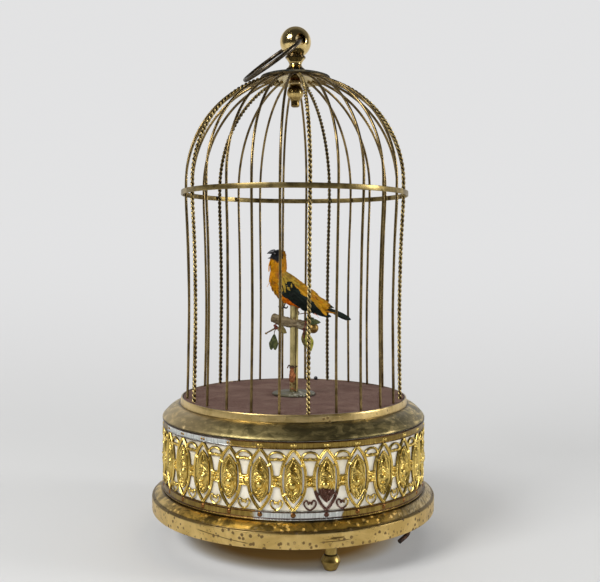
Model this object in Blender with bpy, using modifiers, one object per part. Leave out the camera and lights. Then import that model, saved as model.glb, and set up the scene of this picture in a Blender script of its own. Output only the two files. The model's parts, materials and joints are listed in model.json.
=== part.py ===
"""Singing bird automaton: a wire cage on a round base, with a bird on a perch and the movement inside.

The frame is in metres, +Z up, with its origin on the ground under the middle of the base.
A place round the axis is given by its azimuth, measured from the front (-Y) towards the right (+X).
"""

import math

import bmesh
import bpy
from mathutils import Matrix, Vector

# General sizes
GAP = 0.0003                  # between faces that seat on each other
SHEET = 0.0008                # drawn brass
ROUND_STEPS = 42              # facets round the large turned pieces

# Base, from the ground up
FOOT_HEIGHT = 0.0170
FOOT_RADIUS = 0.0050
FOOT_COUNT = 3
FOOT_AZIMUTH = 17.9
FOOT_INSET = 0.0115           # foot axis inside the gallery's radius
PLATE_THICKNESS = 0.0012
SKIRT_OVERHANG = 0.0008       # the skirt hangs this far below the bottom plate
SKIRT_HEIGHT = 0.0080
SHOULDER_RISE = 0.0035
FLANGE_WIDTH = 0.0058         # from the gallery out to the skirt
SEAT_WIDTH = 0.0040           # inner part of the flange that carries the gallery

# Pierced gallery and its liner
GALLERY_RADIUS = 0.0717
GALLERY_HEIGHT = 0.0377
OVAL_COUNT = 28
OVAL_HALF_WIDTH = 0.0062
OVAL_TIP_HALF_WIDTH = 0.0008
OVAL_FULLNESS = 2.6           # 2 would be a parabola, more keeps the width nearer to the tips
TOP_STRIP = 0.0036
BOTTOM_STRIP = 0.0053
TIE_SHARE = 0.07              # half the height of the ties between ovals, as a share of half an oval
OVAL_ROWS = (-1.0, -0.75, -0.45, -TIE_SHARE, TIE_SHARE, 0.45, 0.75, 1.0)
LINER_CLEARANCE = 0.0006

# Upper cover, rim and floor
COVER_HEIGHT = 0.0072
COVER_STEP = 0.0097           # the rim stands this far inside the gallery
RIM_HEIGHT = 0.0033
RIM_WALL = 0.0012
RIM_WEB_WIDTH = 0.0040
FLOOR_THICKNESS = 0.0009
VELVET_THICKNESS = 0.0009

# Cage
WIRE_COUNT = 26
FIRST_WIRE_AZIMUTH = 7.0
TWISTED_WIRES = (0, 5, 11, 16, 21)
WIRE_RADIUS = 0.0006
TWIST_RADIUS = 0.0010
WIRE_INSET = 0.0024           # wire circle at the hoop, inside the rim
FOOT_DRAW_IN = 0.0008
WAIST_DRAW_IN = 0.0017
WAIST_HEIGHT = 0.0500
HOOP_HEIGHT = 0.1102          # hoop's middle above the floor
HOOP_BAND = 0.0027
HOOP_THICKNESS = 0.0009
DOME_LIFT = 0.0052            # the dome's centre above the hoop
DOME_POINTS = 6
CROWN_RADIUS = 0.0125         # where the wires end
CROWN_FLATTEN = 0.0006
CAP_RADIUS = 0.0191
CAP_THICKNESS = 0.0005

# Finial, nut and carrying ring
STUD_RADIUS = 0.0015
FINIAL_BASE_RADIUS = 0.00635
FINIAL_WAIST_RADIUS = 0.0034
FINIAL_CUP_RADIUS = 0.0055
FINIAL_NECK_HEIGHT = 0.0084   # from the cap up to the cup's lip
BALL_RADIUS = 0.00845
BALL_HEIGHT = 0.0161          # ball's middle above the cap
BALL_HOLE_RADIUS = 0.0029
BALL_HOLE_AZIMUTH = 21.0
NUT_NECK = 0.0036
NUT_COLLAR = 0.0037
NUT_BULGE_RADIUS = 0.00465
NUT_LENGTH = 0.0142           # below its neck
RING_RADIUS = 0.0182
RING_WIRE_RADIUS = 0.00105
RING_DROOP = 39.0             # how far below level the ring lies, in degrees

# Perch
POST_RADIUS = 0.0023
POST_BORE_RADIUS = 0.0010
POST_TOP = 0.0509             # above the velvet
POST_TAIL = 0.0080            # below the floor plate
POST_FLANGE_RADIUS = 0.0120
POST_FLANGE_THICKNESS = 0.0015
BRANCH_RADIUS = 0.0030
BRANCH_DROP = 0.0114          # branch axis below the post's top
BRANCH_LEFT = 0.0134
BRANCH_RIGHT = 0.0088
BRANCH_TILT = 14.0
BRANCH_BALL_RADIUS = 0.00305
ROD_RADIUS = 0.0006

# Bird, measured from the post's top; the stations run from neck to rump, each with the middle of
# the body (x, z), half its depth, half its width and how far its depth leans from upright
BODY_STATIONS = (
    (-0.0087, 0.0171, 0.0050, 0.0045, 90.0),
    (-0.0073, 0.0138, 0.0067, 0.0058, 79.0),
    (-0.0047, 0.0099, 0.0082, 0.0069, 72.0),
    (-0.0007, 0.0056, 0.0086, 0.0072, 62.0),
    (0.0040, 0.0027, 0.0079, 0.0064, 58.0),
    (0.0081, 0.0007, 0.0063, 0.0052, 53.0),
    (0.0137, -0.0020, 0.0050, 0.0036, 49.0),
    (0.0166, -0.0030, 0.0029, 0.0019, 45.0),
)
BODY_SIDES = 12
HEAD_STATIONS = (
    (-0.0087, 0.0174, 0.0049, 0.0044),
    (-0.0088, 0.0200, 0.0050, 0.0046),
    (-0.0089, 0.0235, 0.0048, 0.0046),
    (-0.0087, 0.0265, 0.0040, 0.0038),
    (-0.0085, 0.0285, 0.0026, 0.0024),
    (-0.0084, 0.0294, 0.0011, 0.0010),
)
BEAK_HINGE = Vector((-0.0119, 0.0, 0.0251))
UPPER_BEAK_LENGTH = 0.0032
UPPER_BEAK_RADIUS = 0.0010
LOWER_BEAK_LENGTH = 0.0029
LOWER_BEAK_RADIUS = 0.00075
LOWER_BEAK_DROOP = 15.0       # at rest, below level
LOWER_BEAK_TURN = 30.0        # upwards, until the beak is closed
WING_THICKNESS = 0.0008
WING_CLEARANCE = 0.0005       # between the wing and the flank
WING_COLUMNS = 6
WING_SHIFT_AND_HALF = ((-0.0005, 0.0022), (-0.0008, 0.0050), (-0.0003, 0.0052), (-0.0006, 0.0043), (-0.0012, 0.0028))
WING_TIP = Vector((0.0194, 0.0030, -0.0067))
WING_TIP_HALF = 0.0008
TAIL_LENGTH = 0.0125
TAIL_DROOP = 23.0
TAIL_ROOT_HALF_WIDTH = 0.0014
TAIL_END_HALF_WIDTH = 0.0036
TAIL_HALF_THICKNESS = 0.0009
TAIL_GAP = 0.0009

# Start and stop lever
LEVER_PIVOT = Vector((0.0440, -0.0180, 0.0))
LEVER_AZIMUTH = 58.0
LEVER_INSET = 0.0017          # the tail comes down this far inside the gallery's radius
LEVER_WIRE_RADIUS = 0.00115
LEVER_BEND_HEIGHT = 0.0112
LEVER_TIP_HEIGHT = 0.0084
LEVER_TIP_LENGTH = 0.0066
LEVER_TIP_TURN = 110.0         # the tip's direction, back from the tail's azimuth
LEVER_SWING = 9.0
LEVER_HUB_RADIUS = 0.0034
PIN_RADIUS = 0.0011
RUNNING_CLEARANCE = 0.0003

# Movement between its plates
MOVEMENT_PLATE_INSET = 0.0075
PLATE_HEADROOM = 0.0050       # the upper plate above the cam wheel
MOVEMENT_PLATE_THICKNESS = 0.0015
PILLAR_RADIUS = 0.0022
PILLAR_AZIMUTHS = (100.0, 215.0, 330.0)
PILLAR_INSET = 0.0120
ARBOR_RADIUS = 0.0010
ADDENDUM = 0.70               # tooth above the pitch circle, in modules
DEDENDUM = 1.05               # tooth below the pitch circle, in modules
TOOTH_ROOT_SHARE = 0.48       # tooth width as a share of the pitch, at its root
TOOTH_TIP_SHARE = 0.18        # and at its tip
WHEEL_THICKNESS = 0.0020
PINION_TEETH = 8
GREAT_TEETH = 32
GREAT_MODULE = 0.0014
CAM_WHEEL_TEETH = 28
CAM_WHEEL_MODULE = 0.0010
CRANK_WHEEL_TEETH = 30
CRANK_WHEEL_MODULE = 0.0008
BARREL_PLACE = Vector((-0.0220, 0.0060, 0.0))
CAM_DIRECTION = 0.0
CRANK_DIRECTION = -60.0
FLY_DIRECTION = 10.0
BARREL_CLEARANCE = 0.0015     # between the barrel and the cams
BARREL_HEIGHT = 0.0150
WHEEL_LIFT = 0.0020           # the great wheel above the lower plate
WIND_ARBOR_RADIUS = 0.0022
RATCHET_TEETH = 12
RATCHET_RADIUS = 0.0070
CLICK_LENGTH = 0.0120
KEY_CLEARANCE = 0.0030        # key above the ground
KEY_HALF_WIDTH = 0.0100
KEY_THICKNESS = 0.0016
SPRING_TURNS = 4
SPRING_THICKNESS = 0.0005
CAM_RADIUS = 0.0080
CAM_COUNT = 3
CAM_THICKNESS = 0.0018
FLY_HALF_WIDTH = 0.0085
FLY_HEIGHT = 0.0090
CRANK_RADIUS = 0.0045
CRANK_THROW = 0.0030
LEVER_CLEARANCE = 0.0010      # between the cam wheel and the cam lever
CAM_LEVER_LIFT = 0.0060       # cam lever's pivot above the upper plate
CAM_LEVER_WIDTH = 0.0024
CAM_LEVER_THICKNESS = 0.0022
CAM_LEVER_HUB = 0.0022

# Bellows and whistle on the upper plate
BELLOWS_LOW = Vector((0.0080, 0.0130, 0.0))
BELLOWS_SIZE = Vector((0.0290, 0.0210, 0.0018))
BELLOWS_FOLD = 0.0024
WHISTLE_RADIUS = 0.0042
WHISTLE_BORE = 0.0033
WHISTLE_LENGTH = 0.0340
WHISTLE_PLACE = Vector((-0.0200, -0.0270, 0.0))
WHISTLE_LIFT = 0.0075
PISTON_LENGTH = 0.0080
PISTON_ROD_RADIUS = 0.0008

MERGE = 0.00001

# Levels that follow from the sizes above
plate_low = FOOT_HEIGHT + GAP
plate_top = plate_low + PLATE_THICKNESS
skirt_low = plate_low - SKIRT_OVERHANG
skirt_top = skirt_low + SKIRT_HEIGHT
seat_top = skirt_top + SHOULDER_RISE
gallery_low = seat_top + GAP
gallery_top = gallery_low + GALLERY_HEIGHT
cover_low = gallery_top + GAP
cover_top = cover_low + COVER_HEIGHT
rim_low = cover_top + GAP
rim_top = rim_low + RIM_HEIGHT
floor_low = rim_low + SHEET + GAP
floor_top = floor_low + FLOOR_THICKNESS
velvet_low = floor_top + GAP
velvet_top = velvet_low + VELVET_THICKNESS
cage_foot = velvet_top + GAP
hoop_level = cage_foot + HOOP_HEIGHT
dome_centre = hoop_level + DOME_LIFT
post_top = velvet_top + POST_TOP
branch_level = post_top - BRANCH_DROP

# Radii that follow
base_radius = GALLERY_RADIUS + FLANGE_WIDTH
rim_radius = GALLERY_RADIUS - COVER_STEP
floor_radius = rim_radius - RIM_WALL - GAP
wire_circle = rim_radius - WIRE_INSET
plate_radius = base_radius - SHEET - GAP
foot_circle = GALLERY_RADIUS - FOOT_INSET
liner_radius = GALLERY_RADIUS - SHEET - LINER_CLEARANCE
movement_radius = liner_radius - SHEET - MOVEMENT_PLATE_INSET
post_hole = POST_RADIUS + GAP

# Levels of the movement
lower_plate = plate_top + GAP
lower_face = lower_plate + MOVEMENT_PLATE_THICKNESS
great_wheel_low = lower_face + WHEEL_LIFT
barrel_top = great_wheel_low + WHEEL_THICKNESS + BARREL_HEIGHT
cams_low = great_wheel_low + 2 * WHEEL_THICKNESS
cams_top = cams_low + (2 * CAM_COUNT - 1) * CAM_THICKNESS
crank_wheel_low = cams_top + SHEET
crank_wheel_top = crank_wheel_low + WHEEL_THICKNESS / 2
cam_wheel_low = max(barrel_top, crank_wheel_top) + SHEET
upper_plate = cam_wheel_low + WHEEL_THICKNESS + PLATE_HEADROOM
upper_face = upper_plate + MOVEMENT_PLATE_THICKNESS
cam_lever_level = upper_face + CAM_LEVER_LIFT
rod_low = cam_lever_level + CAM_LEVER_THICKNESS / 2 + GAP


def polar(radius, azimuth, z=0.0):
    """The point at this radius and azimuth."""
    angle = math.radians(azimuth)
    return Vector((radius * math.sin(angle), -radius * math.cos(angle), z))


def collection_named(name):
    """A new collection in the scene."""
    made = bpy.data.collections.new(name)
    bpy.context.scene.collection.children.link(made)
    return made


for old in list(bpy.data.objects):
    bpy.data.objects.remove(old)
parts = collection_named("singing_bird_automaton")
helpers = collection_named("cutters_and_joined_shapes")


def as_object(name, mesh):
    """A mesh as an object of the model, shaded smooth up to 35 degrees."""
    made = bpy.data.objects.new(name, mesh)
    parts.objects.link(made)
    return made


def from_bmesh(name, shape):
    """The bmesh as an object, with its faces turned outwards."""
    if shape.faces:
        bmesh.ops.recalc_face_normals(shape, faces=shape.faces)
    mesh = bpy.data.meshes.new(name)
    shape.to_mesh(mesh)
    shape.free()
    return as_object(name, mesh)


def turned(name, profile, steps, closed=False, place=Vector()):
    """A profile of (radius, height) points turned about a vertical axis at place."""
    mesh = bpy.data.meshes.new(name)
    edges = [(i, i + 1) for i in range(len(profile) - 1)]
    if closed:
        edges.append((len(profile) - 1, 0))
    mesh.from_pydata([(r, 0.0, z) for r, z in profile], edges, [])
    made = as_object(name, mesh)
    made.location = place
    screw = made.modifiers.new("turn", "SCREW")
    screw.steps = steps
    screw.render_steps = steps
    screw.use_merge_vertices = True
    screw.merge_threshold = MERGE
    return made


def ring(name, outer, inner, low, high, steps, place=Vector()):
    """A flat ring with square edges."""
    profile = [(outer, high), (outer, low), (inner, low), (inner, high)]
    return turned(name, profile, steps, True, place)


def disc(name, radius, low, high, steps, place=Vector()):
    """A solid disc or shaft."""
    profile = [(0.0, high), (radius, high), (radius, low), (0.0, low)]
    return turned(name, profile, steps, False, place)


def prism(name, outline, low, high, place=Vector()):
    """A flat outline of (x, y) points drawn up from low to high."""
    shape = bmesh.new()
    face = shape.faces.new([shape.verts.new((x, y, low)) for x, y in outline])
    grown = bmesh.ops.extrude_face_region(shape, geom=[face])
    lifted = [item for item in grown["geom"] if isinstance(item, bmesh.types.BMVert)]
    bmesh.ops.translate(shape, verts=lifted, vec=(0.0, 0.0, high - low))
    made = from_bmesh(name, shape)
    made.location = place
    return made


def block(name, low, high):
    """A box between two corners."""
    shape = bmesh.new()
    bmesh.ops.create_cube(shape, size=1.0)
    low, high = Vector(low), Vector(high)
    size = high - low
    middle = (high + low) / 2
    bmesh.ops.scale(shape, vec=size, verts=shape.verts)
    bmesh.ops.translate(shape, vec=middle, verts=shape.verts)
    return from_bmesh(name, shape)


def shaft(name, start, end, radius, sides, end_radius=None):
    """A round bar or cone between two points."""
    start, end = Vector(start), Vector(end)
    along = end - start
    shape = bmesh.new()
    bmesh.ops.create_cone(
        shape, cap_ends=True, segments=sides, depth=along.length,
        radius1=radius, radius2=radius if end_radius is None else end_radius,
    )
    turn = along.to_track_quat("Z", "Y").to_matrix().to_4x4()
    bmesh.ops.transform(shape, matrix=Matrix.Translation((start + end) / 2) @ turn, verts=shape.verts)
    return from_bmesh(name, shape)


def sphere(name, middle, radius):
    """A small ball."""
    shape = bmesh.new()
    bmesh.ops.create_uvsphere(shape, u_segments=12, v_segments=8, radius=radius)
    bmesh.ops.translate(shape, vec=middle, verts=shape.verts)
    return from_bmesh(name, shape)


def wire(name, points, radius, resolution=1):
    """A bent wire through the points, with capped ends."""
    curve = bpy.data.curves.new(name, "CURVE")
    curve.dimensions = "3D"
    curve.bevel_depth = radius
    curve.bevel_resolution = resolution
    curve.use_fill_caps = True
    spline = curve.splines.new("POLY")
    spline.points.add(len(points) - 1)
    for point, place in zip(spline.points, points):
        point.co = (*place, 1.0)
    made = bpy.data.objects.new(name, curve)
    parts.objects.link(made)
    return made


def wire_as_mesh(made):
    """The wire as a closed mesh that can be cut and joined."""
    bpy.context.view_layer.update()
    seen = made.evaluated_get(bpy.context.evaluated_depsgraph_get())
    mesh = bpy.data.meshes.new_from_object(seen)
    shape = bmesh.new()
    shape.from_mesh(mesh)
    bmesh.ops.remove_doubles(shape, verts=shape.verts, dist=MERGE)
    shape.to_mesh(mesh)
    shape.free()
    name, place = made.name, made.matrix_world.copy()
    bpy.data.objects.remove(made)
    solid = as_object(name, mesh)
    solid.matrix_world = place
    return solid


def skin(name, sections):
    """A closed skin over sections that have the same number of points."""
    shape = bmesh.new()
    rings = [[shape.verts.new(point) for point in section] for section in sections]
    for first, second in zip(rings, rings[1:]):
        count = len(first)
        for k in range(count):
            after = (k + 1) % count
            shape.faces.new((first[k], first[after], second[after], second[k]))
    shape.faces.new(rings[0])
    shape.faces.new(rings[-1])
    return from_bmesh(name, shape)


def loft(name, stations, sides):
    """A skin over ellipses; a station is its middle, its half depth and half width as vectors."""
    turns = [2 * math.pi * k / sides for k in range(sides)]
    sections = []
    for middle, depth, width in stations:
        sections.append([middle + depth * math.cos(a) + width * math.sin(a) for a in turns])
    return skin(name, sections)


def put_away(helper):
    """Keeps a shape that only cuts or joins out of the model."""
    parts.objects.unlink(helper)
    helpers.objects.link(helper)
    helper.hide_render = True
    helper.display_type = "WIRE"


def boolean(target, operation, pieces):
    """Adds one Boolean for each piece to the target."""
    for piece in pieces:
        step = target.modifiers.new(operation.lower(), "BOOLEAN")
        step.operation = operation
        step.solver = "EXACT"
        step.object = piece
        put_away(piece)
    return target


def cut(target, *cutters):
    return boolean(target, "DIFFERENCE", cutters)


def join(target, *pieces):
    return boolean(target, "UNION", pieces)


def finish(made, colour, roughness, metallic=1.0):
    """Gives an object its own plain material."""
    material = bpy.data.materials.new(made.name)
    material.use_nodes = True
    shader = material.node_tree.nodes["Principled BSDF"]
    shader.inputs["Base Color"].default_value = (*colour, 1.0)
    shader.inputs["Roughness"].default_value = roughness
    shader.inputs["Metallic"].default_value = metallic
    made.data.materials.append(material)
    return made


def carry(name, place, *pieces):
    """Hangs pieces on an empty that stands on their joint's axis."""
    pivot = bpy.data.objects.new(name, None)
    pivot.location = place
    pivot.empty_display_size = 0.005
    parts.objects.link(pivot)
    for piece in pieces:
        piece.parent = pivot
        piece.location = piece.location - place
    return pivot


GILT = (0.62, 0.42, 0.13)
BRONZE = (0.16, 0.12, 0.05)
BRASS = (0.50, 0.36, 0.14)
STEEL = (0.30, 0.28, 0.26)
IVORY = (0.80, 0.78, 0.70)
VELVET = (0.20, 0.07, 0.05)
BARK = (0.30, 0.25, 0.18)
YELLOW = (0.70, 0.38, 0.03)
BLACK = (0.02, 0.02, 0.02)
LEATHER = (0.55, 0.42, 0.30)


def make_foot(number):
    """A turned brass foot under the bottom plate."""
    narrow = 0.62 * FOOT_RADIUS
    profile = [
        (0.0, FOOT_HEIGHT),
        (narrow, FOOT_HEIGHT),
        (narrow, 0.46 * FOOT_HEIGHT),
        (0.82 * FOOT_RADIUS, 0.38 * FOOT_HEIGHT),
        (FOOT_RADIUS, 0.27 * FOOT_HEIGHT),
        (0.86 * FOOT_RADIUS, 0.15 * FOOT_HEIGHT),
        (0.63 * FOOT_RADIUS, 0.0),
        (0.0, 0.0),
    ]
    place = polar(foot_circle, FOOT_AZIMUTH + 360.0 * (number - 1) / FOOT_COUNT)
    return finish(turned(f"foot_{number}", profile, 12, False, place), BRASS, 0.35)


def make_base_flange():
    """The drawn brass skirt, with its sloping shoulder and the seat of the gallery."""
    shoulder = GALLERY_RADIUS + SHEET
    inner = GALLERY_RADIUS - SEAT_WIDTH
    corner = base_radius - SHEET
    profile = [
        (inner, seat_top),
        (shoulder, seat_top),
        (corner, skirt_top + SHEET),
        (base_radius, skirt_top),
        (base_radius, skirt_low),
        (corner, skirt_low),
        (corner, skirt_top - SHEET),
        (shoulder - SHEET / 2, seat_top - SHEET),
        (inner, seat_top - SHEET),
    ]
    return finish(turned("base_flange", profile, ROUND_STEPS, True), GILT, 0.35)


def lever_tail():
    """Where the stop lever's tail comes down through the bottom plate."""
    return polar(GALLERY_RADIUS - LEVER_INSET, LEVER_AZIMUTH)


def make_bottom_plate():
    """The plate that closes the base, with the lever's slot and pin and the hole of the key."""
    plate = disc("bottom_plate", plate_radius, plate_low, plate_top, ROUND_STEPS)
    reach = lever_tail() - LEVER_PIVOT
    swing = reach.length * math.sin(math.radians(LEVER_SWING))
    sag = reach.length * (1 - math.cos(math.radians(LEVER_SWING)))
    half_wide = LEVER_WIRE_RADIUS + sag + GAP
    half_long = LEVER_WIRE_RADIUS + swing + GAP
    slot = block("lever_slot", (-half_wide, -half_long, plate_low - SHEET), (half_wide, half_long, plate_top + SHEET))
    slot.location = lever_tail()
    slot.rotation_euler.z = math.atan2(reach.y, reach.x)
    hole = disc("key_hole", WIND_ARBOR_RADIUS + 2 * RUNNING_CLEARANCE, plate_low - SHEET, plate_top + SHEET, 12, BARREL_PLACE)
    pin = disc("lever_pin", PIN_RADIUS, plate_low + SHEET, lever_level() + LEVER_HUB_RADIUS, 10, LEVER_PIVOT)
    cut(plate, slot, hole)
    join(plate, pin)
    return finish(plate, STEEL, 0.45)


def on_gallery(angle, z):
    """A point on the gallery's outside, at an angle in radians."""
    return (GALLERY_RADIUS * math.sin(angle), -GALLERY_RADIUS * math.cos(angle), z)


def make_gallery():
    """The pierced band: upright pointed ovals between two strips, tied to each other half way up."""
    oval_low = gallery_low + BOTTOM_STRIP
    oval_top = gallery_top - TOP_STRIP
    middle = (oval_low + oval_top) / 2
    half_height = (oval_top - oval_low) / 2
    pitch = 2 * math.pi / OVAL_COUNT
    tip = OVAL_TIP_HALF_WIDTH / GALLERY_RADIUS
    shape = bmesh.new()
    left, right, after = [], [], []
    for t in OVAL_ROWS:
        swell = 1 - abs(t) ** OVAL_FULLNESS
        half = tip + (OVAL_HALF_WIDTH - OVAL_TIP_HALF_WIDTH) * swell / GALLERY_RADIUS
        z = middle + t * half_height
        left.append(shape.verts.new(on_gallery(-half, z)))
        right.append(shape.verts.new(on_gallery(half, z)))
        after.append(on_gallery(pitch - half, z))
    for row in range(len(OVAL_ROWS) - 1):
        shape.faces.new((left[row], right[row], right[row + 1], left[row + 1]))
    tie = OVAL_ROWS.index(TIE_SHARE)
    bridge = [shape.verts.new(after[row]) for row in (tie - 1, tie)]
    shape.faces.new((right[tie - 1], bridge[0], bridge[1], right[tie]))
    for edge, near, far in ((0, oval_low, gallery_low), (-1, oval_top, gallery_top)):
        inside = [left[edge], right[edge]] + [shape.verts.new(on_gallery(a, near)) for a in (pitch / 2, pitch - tip)]
        outside = [shape.verts.new(on_gallery(a, far)) for a in (-tip, tip, pitch / 2, pitch - tip)]
        for k in range(3):
            shape.faces.new((inside[k], inside[k + 1], outside[k + 1], outside[k]))
    bmesh.ops.recalc_face_normals(shape, faces=shape.faces)
    if shape.faces[0].normal.y > 0:
        bmesh.ops.reverse_faces(shape, faces=shape.faces)
    mesh = bpy.data.meshes.new("filigree_band")
    shape.to_mesh(mesh)
    shape.free()
    band = as_object("filigree_band", mesh)
    step = bpy.data.objects.new("gallery_step", None)
    step.rotation_euler.z = pitch
    parts.objects.link(step)
    around = band.modifiers.new("around", "ARRAY")
    around.count = OVAL_COUNT
    around.use_relative_offset = False
    around.use_object_offset = True
    around.offset_object = step
    around.use_merge_vertices = True
    around.use_merge_vertices_cap = True
    around.merge_threshold = MERGE
    wall = band.modifiers.new("wall", "SOLIDIFY")
    wall.thickness = SHEET
    wall.offset = -1.0
    return finish(band, GILT, 0.3)


def make_liner():
    """The plain pale cylinder behind the pierced band."""
    liner = ring("band_liner", liner_radius, liner_radius - SHEET, gallery_low, gallery_top, ROUND_STEPS)
    return finish(liner, IVORY, 0.6, 0.0)


def make_upper_cover():
    """The convex moulding between the gallery and the rim of the cage."""
    outer = GALLERY_RADIUS
    inner = rim_radius - RIM_WEB_WIDTH
    step = outer - rim_radius
    profile = [
        (inner, cover_top),
        (rim_radius + 0.15 * step, cover_top),
        (rim_radius + 0.55 * step, cover_top - 0.24 * COVER_HEIGHT),
        (outer - SHEET / 2, cover_low + 0.20 * COVER_HEIGHT),
        (outer, cover_low),
        (outer - SHEET, cover_low),
        (outer - 2 * SHEET, cover_low + 0.12 * COVER_HEIGHT),
        (rim_radius + 0.50 * step, cover_top - 0.24 * COVER_HEIGHT - SHEET),
        (rim_radius + 0.12 * step, cover_top - SHEET),
        (inner, cover_top - SHEET),
    ]
    return finish(turned("upper_cover", profile, ROUND_STEPS, True), BRONZE, 0.4)


def make_rim():
    """The tray whose upright edge is the rim of the cage."""
    wall = rim_radius - RIM_WALL
    inner = rim_radius - RIM_WEB_WIDTH
    profile = [
        (wall, rim_top),
        (rim_radius, rim_top),
        (rim_radius, rim_low),
        (inner, rim_low),
        (inner, rim_low + SHEET),
        (wall, rim_low + SHEET),
    ]
    return finish(turned("cage_rim", profile, ROUND_STEPS, True), GILT, 0.35)


def make_floor():
    """The floor plate with the velvet on it, both pierced for the post."""
    plate = ring("floor_plate", floor_radius, post_hole, floor_low, floor_top, ROUND_STEPS)
    velvet = ring("floor_velvet", floor_radius, post_hole, velvet_low, velvet_top, ROUND_STEPS)
    finish(plate, STEEL, 0.5)
    finish(velvet, VELVET, 0.95, 0.0)


def dome_point(share, azimuth):
    """A point of a wire over the dome; share runs from 0 at the springing to 1 at the crown."""
    last = math.acos(CROWN_RADIUS / wire_circle)
    angle = share * last
    drop = CROWN_FLATTEN * share ** 2
    return polar(wire_circle * math.cos(angle), azimuth, dome_centre + wire_circle * math.sin(angle) - drop)


def wire_path(azimuth):
    """One cage wire from its foot, in at the waist, up past the hoop and over the dome."""
    points = [
        polar(wire_circle - FOOT_DRAW_IN, azimuth, cage_foot),
        polar(wire_circle - WAIST_DRAW_IN, azimuth, cage_foot + WAIST_HEIGHT),
        polar(wire_circle, azimuth, hoop_level),
    ]
    return points + [dome_point(k / DOME_POINTS, azimuth) for k in range(1, DOME_POINTS + 1)]


def make_cage_wires():
    """Five twisted wires, and plain wires bent in pairs like hairpins under the crown cap."""
    pitch = 360.0 / WIRE_COUNT
    plain_before = False
    for i in range(WIRE_COUNT):
        azimuth = FIRST_WIRE_AZIMUTH + i * pitch
        if i in TWISTED_WIRES:
            finish(wire(f"twisted_wire_{i:02d}", wire_path(azimuth), TWIST_RADIUS), BRASS, 0.4)
            plain_before = False
        elif plain_before:
            bend = dome_point(1.0, azimuth - pitch / 2)
            bend.xy *= 1 - 1.5 * WIRE_RADIUS / CROWN_RADIUS
            path = wire_path(azimuth - pitch) + [bend] + wire_path(azimuth)[::-1]
            finish(wire(f"plain_wires_{i - 1:02d}_{i:02d}", path, WIRE_RADIUS), BRASS, 0.45)
            plain_before = False
        elif i + 1 < WIRE_COUNT and i + 1 not in TWISTED_WIRES:
            plain_before = True
        else:
            finish(wire(f"plain_wire_{i:02d}", wire_path(azimuth), WIRE_RADIUS), BRASS, 0.45)


def make_hoop():
    """The flat hoop round the wires at the springing of the dome."""
    inner = wire_circle + TWIST_RADIUS + GAP
    hoop = ring("cage_hoop", inner + HOOP_THICKNESS, inner, hoop_level - HOOP_BAND / 2, hoop_level + HOOP_BAND / 2, 2 * WIRE_COUNT)
    hoop.rotation_euler.z = math.radians(FIRST_WIRE_AZIMUTH - 90.0)
    return finish(hoop, BRASS, 0.35)


def dome_height(radius):
    """Height of the wires' middle line over the dome at this radius."""
    share = math.acos(radius / wire_circle) / math.acos(CROWN_RADIUS / wire_circle)
    return dome_point(share, 0.0).z


def cap_underside(radius):
    """The crown cap's underside: a shallow bowl that clears the wires at its edge and at their ends."""
    clear = TWIST_RADIUS + GAP
    edge = dome_height(CAP_RADIUS) + clear
    inside = dome_height(CROWN_RADIUS) + clear
    fall = (inside - edge) / (CAP_RADIUS ** 2 - CROWN_RADIUS ** 2)
    return edge + fall * (CAP_RADIUS ** 2 - radius ** 2)


def make_crown_cap():
    """The thin saucer that covers the ends of the wires."""
    hole = STUD_RADIUS + GAP
    radii = [hole, 0.35 * CAP_RADIUS, 0.70 * CAP_RADIUS, CAP_RADIUS]
    top = [(r, cap_underside(r) + CAP_THICKNESS) for r in radii]
    under = [(r, cap_underside(r)) for r in reversed(radii)]
    return finish(turned("crown_cap", top + under, 26, True), BRONZE, 0.35)


finial_low = cap_underside(STUD_RADIUS) + CAP_THICKNESS + GAP
ball_level = finial_low + BALL_HEIGHT
nut_top = cap_underside(NUT_COLLAR) - GAP
nut_low = nut_top - NUT_NECK - NUT_LENGTH
ball_centre = Vector((0.0, 0.0, ball_level))


def ring_axis():
    """The way through the ball's hole, towards the viewer."""
    return polar(1.0, BALL_HOLE_AZIMUTH)


def make_finial():
    """The turned finial: a foot, a waist, a cup and a pierced ball, with a stud below."""
    cup_level = finial_low + FINIAL_NECK_HEIGHT
    neck = 0.87 * FINIAL_CUP_RADIUS
    start = math.asin(neck / BALL_RADIUS)
    steps = 8
    angles = [math.pi * k / steps for k in range(steps)]
    ball = [(BALL_RADIUS * math.sin(a), ball_level + BALL_RADIUS * math.cos(a)) for a in angles if a < math.pi - start]
    profile = ball + [
        (neck, ball_level - BALL_RADIUS * math.cos(start)),
        (FINIAL_CUP_RADIUS, cup_level),
        (FINIAL_CUP_RADIUS, cup_level - 0.06 * FINIAL_NECK_HEIGHT),
        (FINIAL_WAIST_RADIUS, finial_low + 0.55 * FINIAL_NECK_HEIGHT),
        (1.06 * FINIAL_WAIST_RADIUS, finial_low + 0.36 * FINIAL_NECK_HEIGHT),
        (FINIAL_BASE_RADIUS, finial_low + 0.20 * FINIAL_NECK_HEIGHT),
        (FINIAL_BASE_RADIUS, finial_low),
        (STUD_RADIUS, finial_low),
        (STUD_RADIUS, nut_low + 0.45 * NUT_LENGTH + GAP),
        (0.0, nut_low + 0.45 * NUT_LENGTH + GAP),
    ]
    finial = turned("finial", profile, 20)
    way = ring_axis() * 2 * BALL_RADIUS
    cut(finial, shaft("ball_hole", ball_centre - way, ball_centre + way, BALL_HOLE_RADIUS, 14))
    return finish(finial, BRASS, 0.15)


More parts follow.
